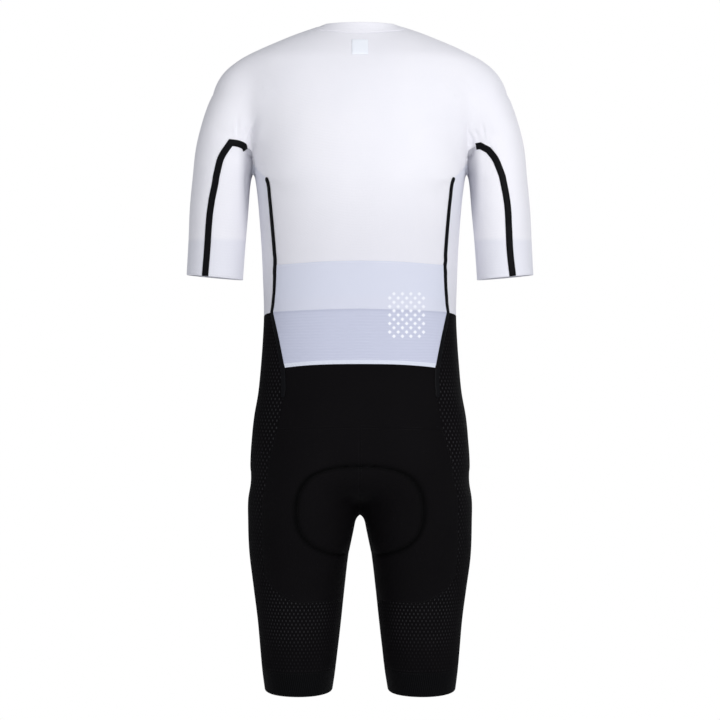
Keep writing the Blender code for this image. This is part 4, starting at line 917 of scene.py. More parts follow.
SLEEVE_CREASE = line([ARMPIT_BACK, near(172, 22, -215), near(176, 22, -280), CUFF[0][0]], TO_CUFF)
UNDERARM_ROW = line([ARMPIT_BACK, fork(160.5, 9), UNDERARM, fork(160.6, -8), ARMPIT_FRONT], SIDE)
CUFF_UNDER = cuff_run(CUFF_ANGLES[0], 360 + CUFF_ANGLES[3], SIDE)
ARM_BACK = stacked(
    grid(KINK_ROW[1], ARMPIT_ROW[1], CREASE_LOWER, TAPE_LOWER),
    grid(ARMPIT_ROW[1], CUFF[0], SLEEVE_CREASE, SLEEVE_TAPE_LINE),
)
ARM_UNDER = grid(UNDERARM_ROW, CUFF_UNDER, SLEEVE_CREASE, SLEEVE_FRONT)
SIDES = (("left", lambda cells: cells), ("right", mirrored))


def pair(name, node_name, slot, cut, grids, made_of, **heights):
    """A piece of cloth for each side, sewn from the grids of the left one."""
    for side, turned in SIDES:
        piece = wall(f"{name}_{side}", sewn([turned(cells) for cells in grids]), made_of, **heights)
        put_on(piece, slot, cut, f"{node_name}_{side}")


# the under sleeve's knit carries painted shade on its inner side, under the arm
SLEEVE_WHITE = white_knit("under_sleeve_knit", WHITE_DULL, WHITE_BRIGHT, 0.9)
sleeve_cut = Cut(0.125, 0.205, 0.0165)
pair("under_sleeve_cloth", "under_sleeve", "white_knit", sleeve_cut, [ARM_BACK, ARM_UNDER], SLEEVE_WHITE)

# ---------------------------------------------------------------- fronts
# Two white fronts run from the collar to the belt line. Their inner edges leave the zip open between them,
# and their outer edges are sewn to the back at the raglan seams and to the side panels below the arms.

FRONT_POCKET_LEVEL, BELT_FRONT = fore(127, -330), fore(128, -405)
CENTRE_FRONT_UPPER = line([N_CF, fore(ZIP_OPENING, -95), FRONT_KINK], TO_KINK)
CENTRE_FRONT_LOWER = line([FRONT_KINK, FRONT_ARMPIT], TO_ARMPIT)
CENTRE_FRONT_POCKET = line([FRONT_ARMPIT, fore(ZIP_OPENING, -330)], TO_POCKET)
FRONT_SIDE_UPPER = line(
    [ARMPIT_FRONT, near(150, -40, -196), fore(138, -218), fore(131, -260), FRONT_POCKET_LEVEL], TO_POCKET
)
FRONT_SIDE_POCKET = line([FRONT_POCKET_LEVEL, BELT_FRONT], TO_BELT)
BELT_ROW_FRONT = line([BELT_FRONT, fore(70, -405), fore(ZIP_OPENING, -405)], FRONT)
CENTRE_FRONT_BELT = line([CENTRE_FRONT_POCKET[-1], BELT_ROW_FRONT[-1]], TO_BELT)
POCKET_ROW_FRONT = line([FRONT_POCKET_LEVEL, fore(66, -330), CENTRE_FRONT_POCKET[-1]], FRONT)
FRONT_UPPER = stacked(
    grid(NECK_SEAM[4], KINK_ROW[4], RAGLAN_UPPER, CENTRE_FRONT_UPPER),
    grid(KINK_ROW[4], ARMPIT_ROW[4], RAGLAN_LOWER, CENTRE_FRONT_LOWER),
    grid(ARMPIT_ROW[4], POCKET_ROW_FRONT, FRONT_SIDE_UPPER, CENTRE_FRONT_POCKET),
    grid(POCKET_ROW_FRONT, BELT_ROW_FRONT, FRONT_SIDE_POCKET, CENTRE_FRONT_BELT),
)
pair("front_cloth", "front", "white_knit", Cut(0.19, 0.47, 0.0465), [FRONT_UPPER], WHITE)

# ---------------------------------------------------------------- side panels
# A white panel runs from each armpit to the belt line, and below it a panel of black mesh goes on to the
# leg band and behind the knee. The mesh is a fine knit with rows of small paler dots.

TO_CROTCH, TO_SEAT_EDGE, TO_BAND, BAND = 42, 32, 28, 10
EDGE_TOP_SIDE, EDGE_SIDE = rear(117, -478.5), rear(115.5, -484.5)
YOKE_BACK, YOKE_FRONT = rear(125, -578), fore(122, -575)
CROTCH = near(0, 4, -704)
CROTCH_BACK, CROTCH_FRONT = rear(147, -720), fore(133, -715)
BELT_ROW_SIDE = line([BELT_BACK, near(144.7, -10, -406.5), BELT_FRONT], SIDE)
POCKET_ROW_SIDE = line([POCKET_TOP_SIDE, near(145, -10, -332), FRONT_POCKET_LEVEL], SIDE)
SIDE_UPPER = stacked(
    grid(UNDERARM_ROW, POCKET_ROW_SIDE, BACK_SIDE_UPPER, FRONT_SIDE_UPPER),
    grid(POCKET_ROW_SIDE, BELT_ROW_SIDE, BACK_SIDE_POCKET, FRONT_SIDE_POCKET),
)
BACK_SIDE_YOKE = line([EDGE_SIDE, rear(115, -510), rear(117.5, -540), YOKE_BACK], YOKE)
BACK_SIDE_BELOW = np.concatenate(
    [
        BACK_SIDE_TAIL,
        line([TAIL_SIDE, EDGE_TOP_SIDE], POCKET_BODY)[1:],
        line([EDGE_TOP_SIDE, EDGE_SIDE], POCKET_EDGE)[1:],
        BACK_SIDE_YOKE[1:],
    ]
)
BACK_SIDE_SEAT = line([YOKE_BACK, rear(140.3, -633), rear(146.5, -685), CROTCH_BACK], TO_CROTCH)
FRONT_SIDE_BELOW = line([BELT_FRONT, fore(122, -480), YOKE_FRONT], evenly_placed(BACK_SIDE_BELOW))
FRONT_SIDE_SEAT = line([YOKE_FRONT, fore(128, -640), CROTCH_FRONT], TO_CROTCH)
YOKE_ROW_SIDE = line([YOKE_BACK, near(160, 0, -577), YOKE_FRONT], SIDE)
CROTCH_ROW_SIDE = line([CROTCH_BACK, near(167, 0, -718), CROTCH_FRONT], SIDE)
INNER_SEAT_EDGE = near(27, -4, -829.5)
SEAT_EDGE_SIDE, SEAT_EDGE_FRONT = rear(143.5, -797), fore(131, -802)
BACK_SIDE_THIGH = line([CROTCH_BACK, rear(147, -750), SEAT_EDGE_SIDE], TO_SEAT_EDGE)
FRONT_SIDE_THIGH = line([CROTCH_FRONT, SEAT_EDGE_FRONT], TO_SEAT_EDGE)
seat_edge_way = [near(44, 52, -832), rear(66, -837), rear(99, -836), rear(131, -815)]
SEAT_EDGE_BACK = line([INNER_SEAT_EDGE, *seat_edge_way, SEAT_EDGE_SIDE], BACK)
SEAT_ROW_SIDE = line([SEAT_EDGE_SIDE, near(159, -2, -800), SEAT_EDGE_FRONT], SIDE)

LEG_CENTRE, LEG_RADIUS = (92.0, -4.0), 64.0
BAND_STOPS = [180, 50, -50, -180]
BAND_STEPS = [BACK, SIDE, FRONT]
BAND_TOP, HEM = -930.0, -966.0
HEM_DIP = 6.0  # the hem is lower at the back


def leg_run(level, part):
    """The leg band's top or hem between two of the BAND_STOPS."""
    start, stop = BAND_STOPS[part : part + 2]
    angles = start + (stop - start) * shares(BAND_STEPS[part])
    dips = HEM_DIP * np.maximum(np.sin(np.radians(angles)), 0)
    return np.array([around(*LEG_CENTRE, a, level - dip) for a, dip in zip(angles, dips)])


BAND_ROW = [leg_run(BAND_TOP, part) for part in range(3)]
HEM_ROW = [leg_run(HEM, part) for part in range(3)]
INNER_LEG_LOWER = line([INNER_SEAT_EDGE, BAND_ROW[0][0]], TO_BAND)
BACK_SIDE_KNEE = line([SEAT_EDGE_SIDE, BAND_ROW[1][0]], TO_BAND)
FRONT_SIDE_KNEE = line([SEAT_EDGE_FRONT, BAND_ROW[2][0]], TO_BAND)
SIDE_LOWER = stacked(
    grid(BELT_ROW_SIDE, YOKE_ROW_SIDE, BACK_SIDE_BELOW, FRONT_SIDE_BELOW),
    grid(YOKE_ROW_SIDE, CROTCH_ROW_SIDE, BACK_SIDE_SEAT, FRONT_SIDE_SEAT),
    grid(CROTCH_ROW_SIDE, SEAT_ROW_SIDE, BACK_SIDE_THIGH, FRONT_SIDE_THIGH),
    grid(SEAT_ROW_SIDE, BAND_ROW[1], BACK_SIDE_KNEE, FRONT_SIDE_KNEE),
)
KNEE_BACK = grid(SEAT_EDGE_BACK, BAND_ROW[0], INNER_LEG_LOWER, BACK_SIDE_KNEE)
KNEE_BACK[..., 3] -= KNEE_BACK[:, -1:, 3]  # its flat places run on from the side panel's

BLACK_DEEP, BLACK_SOFT = (0.0026, 0.0022, 0.0027), (0.0040, 0.0035, 0.0042)
# painted shade for the groove along the pad's sewn edge
BLACK_PAD_SHADE = (0.0003, 0.0003, 0.0004)
MESH_DOT = (0.024, 0.0235, 0.0255)
DOTS_ALONG, DOTS_DOWN = 0.0056, 0.0106  # from one dot to the next round the leg, and down two rows
BEHIND = math.pi / 2 * LEG_RADIUS * MM  # the place along the cloth of the middle of the leg's back


def black_mesh():
    made, tree, along, down = new_cloth("black_mesh", 0.8, 0.0, 0.03)
    dots = ranged(tree, times(tree, wave(tree, along, DOTS_ALONG), wave(tree, down, DOTS_DOWN)), 0.4, 0.8)
    from_behind = calc(tree, "ABSOLUTE", calc(tree, "SUBTRACT", along, BEHIND))
    at_back = ranged(tree, from_behind, 0.03, 0.062, 1.0, 0.3)
    shown = calc(tree, "MAXIMUM", at_back, ranged(tree, down, 0.55, 0.75, 0.45, 0.0))
    shown = times(tree, shown, ranged(tree, down, 0.875, 0.925, 1.0, 0.3))
    shown = times(tree, shown, ranged(tree, clouds(tree, 16), 0.3, 0.7, 0.5, 1.0))
    ground = mixed(tree, clouds(tree, 40), BLACK_DEEP, BLACK_SOFT)
    colour = mixed(tree, times(tree, dots, shown), ground, MESH_DOT)
    relief = calc(tree, "MULTIPLY_ADD", dots, 3.0, knit_relief(tree, along, down, 0.0012))
    return finished(made, colour, relief, 0.00006)


def round_leg(sheet):
    """The sheet with its flat places taken round the leg, so that the rows of the mesh stay level."""
    x, y, z = sheet.points.T
    angle = np.degrees(np.arctan2(y - LEG_CENTRE[1], np.abs(x) - LEG_CENTRE[0]))
    angle = np.where(angle < -150, angle + 360, angle)
    places = np.stack([np.radians(angle) * LEG_RADIUS * MM, -z * MM], axis=1)
    return Sheet(sheet.points, sheet.faces, places[[k for face in sheet.faces for k in face]])


MESH = black_mesh()
SIDE_WHITE = white_knit("side_knit", (0.73, 0.745, 0.835), (0.78, 0.79, 0.87))
for side, turned in SIDES:
    side_upper = wall(f"side_upper_cloth_{side}", sewn([turned(SIDE_UPPER)]), SIDE_WHITE)
    put_on(side_upper, "white_knit", Cut(0.125, 0.25, 0.0235), f"side_upper_{side}")
    sheet = round_leg(sewn([turned(SIDE_LOWER), turned(KNEE_BACK)]))
    side_lower = wall(f"side_lower_cloth_{side}", sheet, MESH)
    put_on(side_lower, "black_mesh", Cut(0.25, 0.51, 0.079), f"side_lower_{side}")

# ---------------------------------------------------------------- yoke, seat and front of the legs
# Firm plain black knit. The yoke is sewn under the pocket's hem, and the two halves of the seat meet in a
# seam at the centre back. Over the pad the cloth stands a little fuller.

EDGE_TOP_ROW = line([rear(0, -472.5), rear(60, -473.5), rear(100, -476.5), EDGE_TOP_SIDE], BACK)
EDGE_ROW = line([rear(0, -478.5), rear(60, -479.5), rear(100, -482.5), EDGE_SIDE], BACK)
YOKE_ROW_BACK = line([rear(0, -573), rear(62, -574.5), YOKE_BACK], BACK)
CENTRE_BACK_YOKE = line([EDGE_ROW[0], rear(0, -525), YOKE_ROW_BACK[0]], YOKE)
YOKE_TOP = strip(TAIL_ROW, EDGE_TOP_ROW, POCKET_BODY)
YOKE_EDGE = strip(EDGE_TOP_ROW, EDGE_ROW, POCKET_EDGE)
YOKE_BODY = grid(EDGE_ROW, YOKE_ROW_BACK, CENTRE_BACK_YOKE, BACK_SIDE_YOKE)

CROTCH_ROW_BACK = line([CROTCH, near(20, 42, -700), near(62, 80, -712), rear(110, -718), CROTCH_BACK], BACK)
CROTCH_ROW_FRONT = line(
    [CROTCH_FRONT, fore(100, -712), near(60, -74, -708), near(20, -38, -698), CROTCH], FRONT
)
CENTRE_BACK_SEAT = line(
    [YOKE_ROW_BACK[0], rear(0, -620), near(0, 108, -655), near(0, 70, -680), CROTCH], TO_CROTCH
)
INNER_LEG_UPPER = line([CROTCH, near(7, 0, -716), near(14, -2, -762), INNER_SEAT_EDGE], TO_SEAT_EDGE)
SEAT = stacked(
    grid(YOKE_ROW_BACK, CROTCH_ROW_BACK, CENTRE_BACK_SEAT, BACK_SIDE_SEAT),
    grid(CROTCH_ROW_BACK, SEAT_EDGE_BACK, INNER_LEG_UPPER, BACK_SIDE_THIGH),
)
ZIP_END = -520.0
zip_steps = round(0.7 * (len(BACK_SIDE_BELOW) - 1))
YOKE_ROW_FRONT = line([YOKE_FRONT, fore(62, -575), fore(0, -575)], FRONT)
CENTRE_FRONT_BELOW = np.concatenate(
    [
        line([BELT_ROW_FRONT[-1], fore(ZIP_OPENING, ZIP_END)], np.linspace(0, 1, zip_steps + 1)),
        line(
            [fore(0, ZIP_END - 4), fore(0, ZIP_END - 14), YOKE_ROW_FRONT[-1]],
            np.linspace(0, 1, len(BACK_SIDE_BELOW) - zip_steps - 1),
        ),
    ]
)
CENTRE_FRONT_SEAT = line([YOKE_ROW_FRONT[-1], near(0, -94, -640), near(0, -60, -680), CROTCH], TO_CROTCH)
SEAT_ROW_FRONT = line([SEAT_EDGE_FRONT, fore(92, -818), near(44, -58, -828), INNER_SEAT_EDGE], FRONT)
FRONT_LOWER = stacked(
    grid(BELT_ROW_FRONT, YOKE_ROW_FRONT, FRONT_SIDE_BELOW, CENTRE_FRONT_BELOW),
    grid(YOKE_ROW_FRONT, CROTCH_ROW_FRONT, FRONT_SIDE_SEAT, CENTRE_FRONT_SEAT),
    grid(CROTCH_ROW_FRONT, SEAT_ROW_FRONT, FRONT_SIDE_THIGH, INNER_LEG_UPPER),
    grid(SEAT_ROW_FRONT, BAND_ROW[2], FRONT_SIDE_KNEE, INNER_LEG_LOWER),
)

PAD_BACK_WIDTH, PAD_FRONT_WIDTH = 94.0, 60.0
PAD_MIDDLE, PAD_RISE_BACK, PAD_RISE_FRONT, PAD_DROP = -697.0, 69.0, 88.0, 66.0
PAD_TURN = 60.0  # the depth over which its back outline turns into the front one
PAD_ROUNDNESS, PAD_ROUNDNESS_ABOVE = 2.4, 2.6
PAD_BULGE, PAD_GROOVE = 2.2, -2.2  # how the seat's cloth stands over the pad and dips along its edge


def pad_depth(points):
    """Zero at the pad's edge and 1 at its middle."""
    behind = np.clip(points[:, 1] / PAD_TURN + 0.5, 0, 1)
    half_width = PAD_FRONT_WIDTH + (PAD_BACK_WIDTH - PAD_FRONT_WIDTH) * behind
    rise = PAD_RISE_FRONT + (PAD_RISE_BACK - PAD_RISE_FRONT) * behind
    height = points[:, 2] - PAD_MIDDLE
    power = np.where(height > 0, PAD_ROUNDNESS_ABOVE, PAD_ROUNDNESS)
    reach = np.abs(points[:, 0] / half_width) ** power
    reach += np.abs(height / np.where(height > 0, rise, PAD_DROP)) ** power
    return 1 - reach ** (1 / power)


PAD_SHADE_WIDTH = 0.042  # how broad the painted shade in the groove along its edge shows, as a share of the way to the middle
PAD_SWELL, PAD_GROOVE_WIDTH = 0.25, 0.045  # over which shares the cloth rises, and dips beside the edge
PAD_FLAT, PAD_FADE = 14.0, 26.0  # how near to the middle between the legs it lies flat, and fades out


def over_pad(points):
    """How far the pad pushes the cloth out. It stays flat between the legs."""
    depth = pad_depth(points)
    push = PAD_BULGE * np.clip(depth / PAD_SWELL, 0, 1) ** 0.6
    push += PAD_GROOVE * np.exp(-((depth / PAD_GROOVE_WIDTH) ** 2))
    clear = np.abs(points[:, 0]) + np.abs(points[:, 1]) / 2 - PAD_FLAT
    return push * np.clip(clear / PAD_FADE, 0, 1)


def black_knit():
    made, tree, along, down = new_cloth("black_knit", 0.7, 0.0, 0.04)
    colour = mixed(tree, clouds(tree, 12), BLACK_DEEP, BLACK_SOFT)
    pad_groove_shade = node(tree, "Attribute", {}, attribute_name="pad_groove_shade")["Fac"]
    # painted shade in the groove along the pad's edge
    colour = mixed(tree, pad_groove_shade, colour, BLACK_PAD_SHADE)
    return finished(made, colour, knit_relief(tree, along, down, 0.001), 0.00005)


def shade_pad_groove(piece, sheet):
    """Painted shade where the pad's sewn edge draws the cloth down into a groove, as a value at each point of
    the piece.
    """
    shown = np.exp(-((pad_depth(sheet.points) / PAD_SHADE_WIDTH) ** 2))
    piece.data.attributes.new("pad_groove_shade", "FLOAT", "POINT").data.foreach_set("value", np.tile(shown, 2))


BLACK = black_knit()
yoke = wall("yoke_cloth", sewn(both_sides(stacked(YOKE_TOP, YOKE_EDGE, YOKE_BODY))), BLACK)
put_on(yoke, "black_knit", Cut(0.235, 0.13, 0.0268), "back_yoke")
PLAIN_PIECES = (
    ("seat_cloth", "seat", SEAT, Cut(0.19, 0.33, 0.0385)),
    ("front_lower_cloth", "front_lower", FRONT_LOWER, Cut(0.18, 0.56, 0.0645)),
)
for side, turned in SIDES:
    for name, node_name, cells, cut in PLAIN_PIECES:
        sheet = sewn([turned(cells)])
        bulge = over_pad(sheet.points)
        piece = wall(f"{name}_{side}", sheet, BLACK, outer=bulge, inner=bulge - WALL)
        shade_pad_groove(piece, sheet)
        put_on(piece, "black_knit", cut, f"{node_name}_{side}")

# ---------------------------------------------------------------- leg bands
# A broad elastic band with upright ribs ends each leg and grips the thigh. It is sewn to the cloth above it,
# and its hem dips a little at the back.

def band_grid(part):
    sides = [line([BAND_ROW[k][0], HEM_ROW[k][0]], BAND) for k in (part, (part + 1) % 3)]
    return grid(BAND_ROW[part], HEM_ROW[part], *sides)


LEG_BAND = beside(*[band_grid(part) for part in range(3)])


def gripper():
    made, tree, along, down = new_cloth("gripper", 0.65, 0.0, 0.03)
    ribs = wave(tree, along, 0.0031)
    colour = mixed(tree, ranged(tree, ribs, -1, 1), (0.0015, 0.0015, 0.0018), (0.0042, 0.0042, 0.0048))
    relief = calc(tree, "MULTIPLY_ADD", knit_relief(tree, along, down, 0.001), 0.2, ribs)
    return finished(made, colour, relief, 0.00018)


pair("leg_band", "leg_gripper", "gripper", Cut(0.33, 0.035, 0.0112), [LEG_BAND], gripper())

# ---------------------------------------------------------------- back pocket
# A wide pocket lies between the two tapes. Its upper part is smooth and slightly blue, its lower part has
# fine level ribs, and a white hem closes it over the yoke.

BACK_TAPE_WIDTH = 7.6
POCKET_MARGIN = BACK_TAPE_WIDTH / 2 + 0.2
POCKET_FACE, POCKET_INSIDE = 1.15, 0.25  # how far its two faces lie off the back


def shortened(cells, margin):
    """The grid with each row drawn in, so that it ends short of its last point by margin."""
    kept = cells.copy()
    for row in kept:
        row[:] = evenly(row.copy(), evenly_placed(row[:, :3]) * (1 - margin / steps(row).sum()))
    return kept


PRINT_PITCH = 0.0125  # between like lozenges
PRINT_LEFT, PRINT_RIGHT, PRINT_TOP, PRINT_BOTTOM = (PRINT_PITCH * k for k in (-7.75, -3.25, -29.75, -35.25))
PALE_PRINT = (0.83, 0.84, 0.91)


def printed(tree, colour):
    """A small generic print of staggered lozenges, in a field on the wearer's right."""
    x, _, z = object_place(tree)
    # the sum of the distances to the middles of a cell's sides is least or most at each lozenge's centre
    gaps = calc(tree, "ADD", *[calc(tree, "PINGPONG", value, PRINT_PITCH / 2) for value in (x, z)])
    off = calc(tree, "ABSOLUTE", calc(tree, "SUBTRACT", gaps, PRINT_PITCH / 2))
    inside = ranged(tree, off, PRINT_PITCH * 0.25, PRINT_PITCH * 0.28)
    for value, low, high in ((x, PRINT_LEFT, PRINT_RIGHT), (z, PRINT_BOTTOM, PRINT_TOP)):
        inside = times(tree, inside, calc(tree, "GREATER_THAN", value, low))
        inside = times(tree, inside, calc(tree, "LESS_THAN", value, high))
    return mixed(tree, inside, colour, PALE_PRINT)


def pocket_smooth():
    made, tree, along, down = new_cloth("pocket_smooth", 0.6, 0.1, 0.3)
    hem = ranged(tree, down, 0.046, 0.060)
    body = mixed(tree, clouds(tree, 12), (0.64, 0.66, 0.77), (0.67, 0.69, 0.80))
    colour = mixed(tree, hem, body, (0.66, 0.675, 0.78))
    return finished(made, printed(tree, colour), knit_relief(tree, along, down, 0.0009), 0.00004)


def pocket_ribbed():
    made, tree, _, down = new_cloth("pocket_ribbed", 0.7, 0.1, 0.25)
    ribs = wave(tree, down, 0.0044)
    shown = times(tree, ribs, ranged(tree, clouds(tree, 22), 0.35, 0.65, 0.1, 0.5))
    top = ranged(tree, down, 0.0, 0.006, 0.35, 0.0)  # the shade under the step
    shade = calc(tree, "MULTIPLY_ADD", shown, 0.5, 0.5)
    colour = mixed(tree, shade, (0.505, 0.525, 0.655), (0.56, 0.58, 0.705))
    colour = mixed(tree, top, colour, (0.37, 0.385, 0.50))
    return finished(made, printed(tree, colour), ribs, 0.00005)


def pocket_edge():
    made, tree, along, _ = new_cloth("pocket_edge", 0.6, 0.1, 0.25)
    ribs = wave(tree, along, 0.0019)
    colour = mixed(tree, ranged(tree, ribs, -1, 1), (0.66, 0.69, 0.80), (0.71, 0.74, 0.83))
    return finished(made, colour, ribs, 0.0001)


pocket = {
    "pocket_upper": (BACK_UPPER_POCKET, pocket_smooth(), "pocket_smooth", Cut(0.255, 0.07, 0.0168)),
    "pocket_lower": (stacked(BACK_TAIL, YOKE_TOP), pocket_ribbed(), "pocket_ribbed", Cut(0.25, 0.08, 0.0172)),
    "pocket_hem": (YOKE_EDGE, pocket_edge(), "pocket_edge", Cut(0.22, 0.012, 0.00132)),
}
for name, (cells, made_of, slot, cut) in pocket.items():
    sheet = sewn(both_sides(shortened(cells, POCKET_MARGIN)))
    piece = wall(f"{name}_cloth", sheet, made_of, outer=POCKET_FACE, inner=POCKET_INSIDE, roll=0.25)
    put_on(piece, slot, cut, name)

# ---------------------------------------------------------------- bonded tapes
# Flat black tapes are bonded over the seams beside the pocket and over the seams at the backs of the
# sleeves. They are rounded at the top and slightly glossier than the cloth.

SLEEVE_TAPE_WIDTH = 10.0
BACK_TAPE_TOP, BACK_TAPE_END = -202.5, -528.0
TAPE_ACROSS = np.array([-1, -0.82, -0.4, 0, 0.4, 0.82, 1])
TAPE_FACE, TAPE_INSIDE, TAPE_ROLL = 1.25, 0.2, 0.45


def ribbon(centre, width, rounded):
    """A grid of points along a line on the form, width wide. rounded tells which of its ends are round."""
    ahead = np.diff(centre, axis=0)
    ahead /= np.linalg.norm(ahead, axis=1, keepdims=True)
    ahead = np.concatenate([ahead[:1], ahead[:-1] + ahead[1:], ahead[-1:]])
    ahead[1:-1] /= 2
    mitre = 1 / np.maximum(np.linalg.norm(ahead, axis=1), 0.6)
    across = np.cross(outward(centre), ahead)
    across /= np.linalg.norm(across, axis=1, keepdims=True)
    length = lengths(centre)
    half = np.full(len(centre), width / 2)
    for is_round, reach in zip(rounded, (length, length[-1] - length)):
        if is_round:
            short = np.clip(1 - reach / (width / 2), 0, 0.96)
            half *= np.sqrt(1 - short**2)
    sideways = across[:, None] * TAPE_ACROSS[None, :, None] * (half * mitre)[:, None, None]
    return spread(onto_form(centre[:, None] + sideways, 4))


def cut_between(points, high, low):
    """A line's points between two heights, every 3 mm, with closer ones near its ends."""
    length = lengths(points)
    start, stop = (float(np.interp(-height, -points[:, 2], length)) for height in (high, low))
    close = np.array([0, 0.35, 0.8, 1.4, 2.1])
    even = np.arange(start + 3.5, stop - 3.5, 3.0)
    reach = np.concatenate([start + close, even, stop - close[::-1]])
    return onto_form(evenly(points, reach / length[-1]))


def tape_finish():
    made, tree = new_cloth("tape", 0.5, 0.0, 0.06)[:2]
    colour = mixed(tree, clouds(tree, 90, 4.0), (0.0022, 0.0022, 0.0030), (0.0040, 0.0040, 0.0052))
    return finished(made, colour, clouds(tree, 900, 3.0), 0.00012)


TAPE = tape_finish()
back_seam = np.concatenate([BACK_SIDE_UPPER, BACK_SIDE_POCKET[1:], BACK_SIDE_BELOW[1:]])
# each sleeve tape starts in a hook behind the armpit, and the right one turns less sharply
HOOKS = {
    "left": [(170.8, -157.5), (172.5, -152.5), (177, -149.5), (184, -147.3)],
    "right": [(178, -147.5), (184, -146.3), (190, -144.5)],
}
CORNERS = {"left": [TAPE_KINK], "right": []}
CORNER_CLEAR = {"left": 4.6, "right": 7.5}  # no points of the line lie closer than this to the corner
# where the cloth's bending has pushed a tape aside
Pull = namedtuple("Pull", "z out tall down", defaults=[0.0])
SLEEVE_PULLS = {
    "left": [Pull(-174, 4.6, 24)],
    "right": [Pull(-148, -4.6, 20, 5.0), Pull(-305, -4.6, 80)],
}
PULLS = {
    "left": [Pull(-341, 1.3, 6), Pull(-322, -0.8, 7), Pull(-372, -0.7, 9), Pull(-514, -1.1, 5)],
    "right": [
        Pull(-325, 1.4, 5),
        Pull(-343, 1.0, 4),
        Pull(-334, -0.9, 4),
        Pull(-380, 0.6, 10),
        Pull(-518, 1.2, 5),
    ],
}


def pushed(points, pulls):
    """A tape's line with small kinks to the side."""
    moved = points.copy()
    for pull in pulls:
        share = np.exp(-(((points[:, 2] - pull.z) / pull.tall) ** 2))
        moved[:, 0] += pull.out * share
        moved[:, 2] -= pull.down * share
    return onto_form(moved)


def sleeve_line(side):
    """The middle of a sleeve tape, from its hook behind the armpit to the cuff."""
    hook = line([*[rear(x, z) for x, z in HOOKS[side]], TAPE_KINK], 16)
    below = np.concatenate([TAPE_LOWER, SLEEVE_TAPE_LINE[1:]])
    parts = [run[np.linalg.norm(run - TAPE_KINK, axis=1) > CORNER_CLEAR[side]] for run in (hook, below)]
    return pushed(np.array([*parts[0], *CORNERS[side], *parts[1]]), SLEEVE_PULLS[side])


for side, turned in SIDES:
    back_line = pushed(cut_between(back_seam, BACK_TAPE_TOP, BACK_TAPE_END), PULLS[side])
    back_ribbon = ribbon(back_line, BACK_TAPE_WIDTH, (True, True))
    sleeve_ribbon = ribbon(sleeve_line(side), SLEEVE_TAPE_WIDTH, (False, False))
    for name, cells, cut in (
        ("back_tape", back_ribbon, Cut(0.010, 0.335, 0.0025)),
        ("sleeve_tape", sleeve_ribbon, Cut(0.01, 0.25, 0.0024)),
    ):
        sheet = sewn([turned(cells)])
        piece = wall(f"{name}_band_{side}", sheet, TAPE, outer=TAPE_FACE, inner=TAPE_INSIDE, roll=TAPE_ROLL)
        put_on(piece, "tape", cut, f"{name}_{side}")

# ---------------------------------------------------------------- neck patch
# A small plain patch of smooth, very pale cloth is bonded on below the collar. It is nearly square and
# nothing is printed on it.

PATCH_HALF_WIDTH, PATCH_TOP, PATCH_BOTTOM = 12.0, 8.0, -14.0
PATCH_STEPS = 10
patch_corners = [rear(x, z) for z in (PATCH_TOP, PATCH_BOTTOM) for x in (-PATCH_HALF_WIDTH, PATCH_HALF_WIDTH)]
patch_rows = [line(ends, PATCH_STEPS) for ends in (patch_corners[:2], patch_corners[2:])]
PATCH_CELLS = strip(*patch_rows, PATCH_STEPS)


def patch_finish():
    made, tree, along, down = new_cloth("patch", 0.5, 0.05, 0.35)
    colour = mixed(tree, clouds(tree, 60), (0.87, 0.90, 0.97), (0.91, 0.93, 0.98))
    return finished(made, colour, knit_relief(tree, along, down, 0.0008), 0.00003)


patch = wall("patch_cloth", sewn([PATCH_CELLS]), patch_finish(), outer=1.2, inner=0.2, roll=0.4)
put_on(patch, "patch", Cut(0.024, 0.026, 0.0006), "neck_patch")

# ---------------------------------------------------------------- seat pad
# A moulded foam pad is sewn inside the seat and the front. It thins towards its edge, and rows of small dark
# hollows cover its foam.

PAD_EDGE_THICK, PAD_THICK, PAD_BEVEL, PAD_GAP = 2.0, 7.0, 0.3, 0.95


def kept_where(sheet, inside):
    """The part of a sheet where the function inside is above zero, cut through its faces."""
    points = list(sheet.points)
    values = list(inside(sheet.points))
    cuts, faces, places = {}, [], []
    at = 0
    for face in sheet.faces:
        here = sheet.places[at : at + len(face)]
        at += len(face)
        if all(values[k] <= 0 for k in face):
            continue
        ring, ring_places = [], []
        for j, (a, b) in enumerate(zip(face, (*face[1:], face[0]))):
            if values[a] > 0:
                ring.append(a)
                ring_places.append(here[j])
            if (values[a] > 0) != (values[b] > 0):
                key = (min(a, b), max(a, b))
                share = values[a] / (values[a] - values[b])
                if key not in cuts:
                    cuts[key] = len(points)
                    points.append(points[a] + share * (points[b] - points[a]))
                ring.append(cuts[key])
                ring_places.append(here[j])
        faces.append(ring)
        places += ring_places
    used = sorted({k for face in faces for k in face})
    number = {k: n for n, k in enumerate(used)}
    return Sheet(np.array(points)[used], [[number[k] for k in face] for face in faces], np.array(places))


def pad_foam():
    made, tree, along, down = new_cloth("pad_foam", 0.9, 0.1, 0.2)
    holes = ranged(tree, times(tree, wave(tree, along, 0.007), wave(tree, down, 0.007)), 0.55, 0.85)
    colour = mixed(tree, holes, (0.05, 0.05, 0.055), (0.02, 0.02, 0.024))
    return finished(made, colour, calc(tree, "SUBTRACT", clouds(tree, 500), holes), 0.0003)


pad_sheet = kept_where(sewn(both_sides(SEAT, FRONT_LOWER)), pad_depth)
pad_face = over_pad(pad_sheet.points) - WALL - PAD_GAP
pad_share = np.clip(pad_depth(pad_sheet.points) / PAD_BEVEL, 0, 1)
pad_back = pad_face - PAD_EDGE_THICK - (PAD_THICK - PAD_EDGE_THICK) * pad_share
pad = wall("seat_pad", pad_sheet, pad_foam(), outer=pad_face, inner=pad_back, roll=0.3)
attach(pad, "suit")
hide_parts("chamois_pad")

# ---------------------------------------------------------------- zip
# A long white zip closes the front. Its two tapes are sewn behind the edges of the fronts, and its teeth
# meet in the middle below the slider, as far as the stop.

ZIP_TAPE_WIDTH, ZIP_TAPE_THICK = 12.0, 0.8
ZIP_HALF_GAP, ZIP_TOP_HALF_GAP = 0.15, 1.3
ZIP_FACE = -1.5


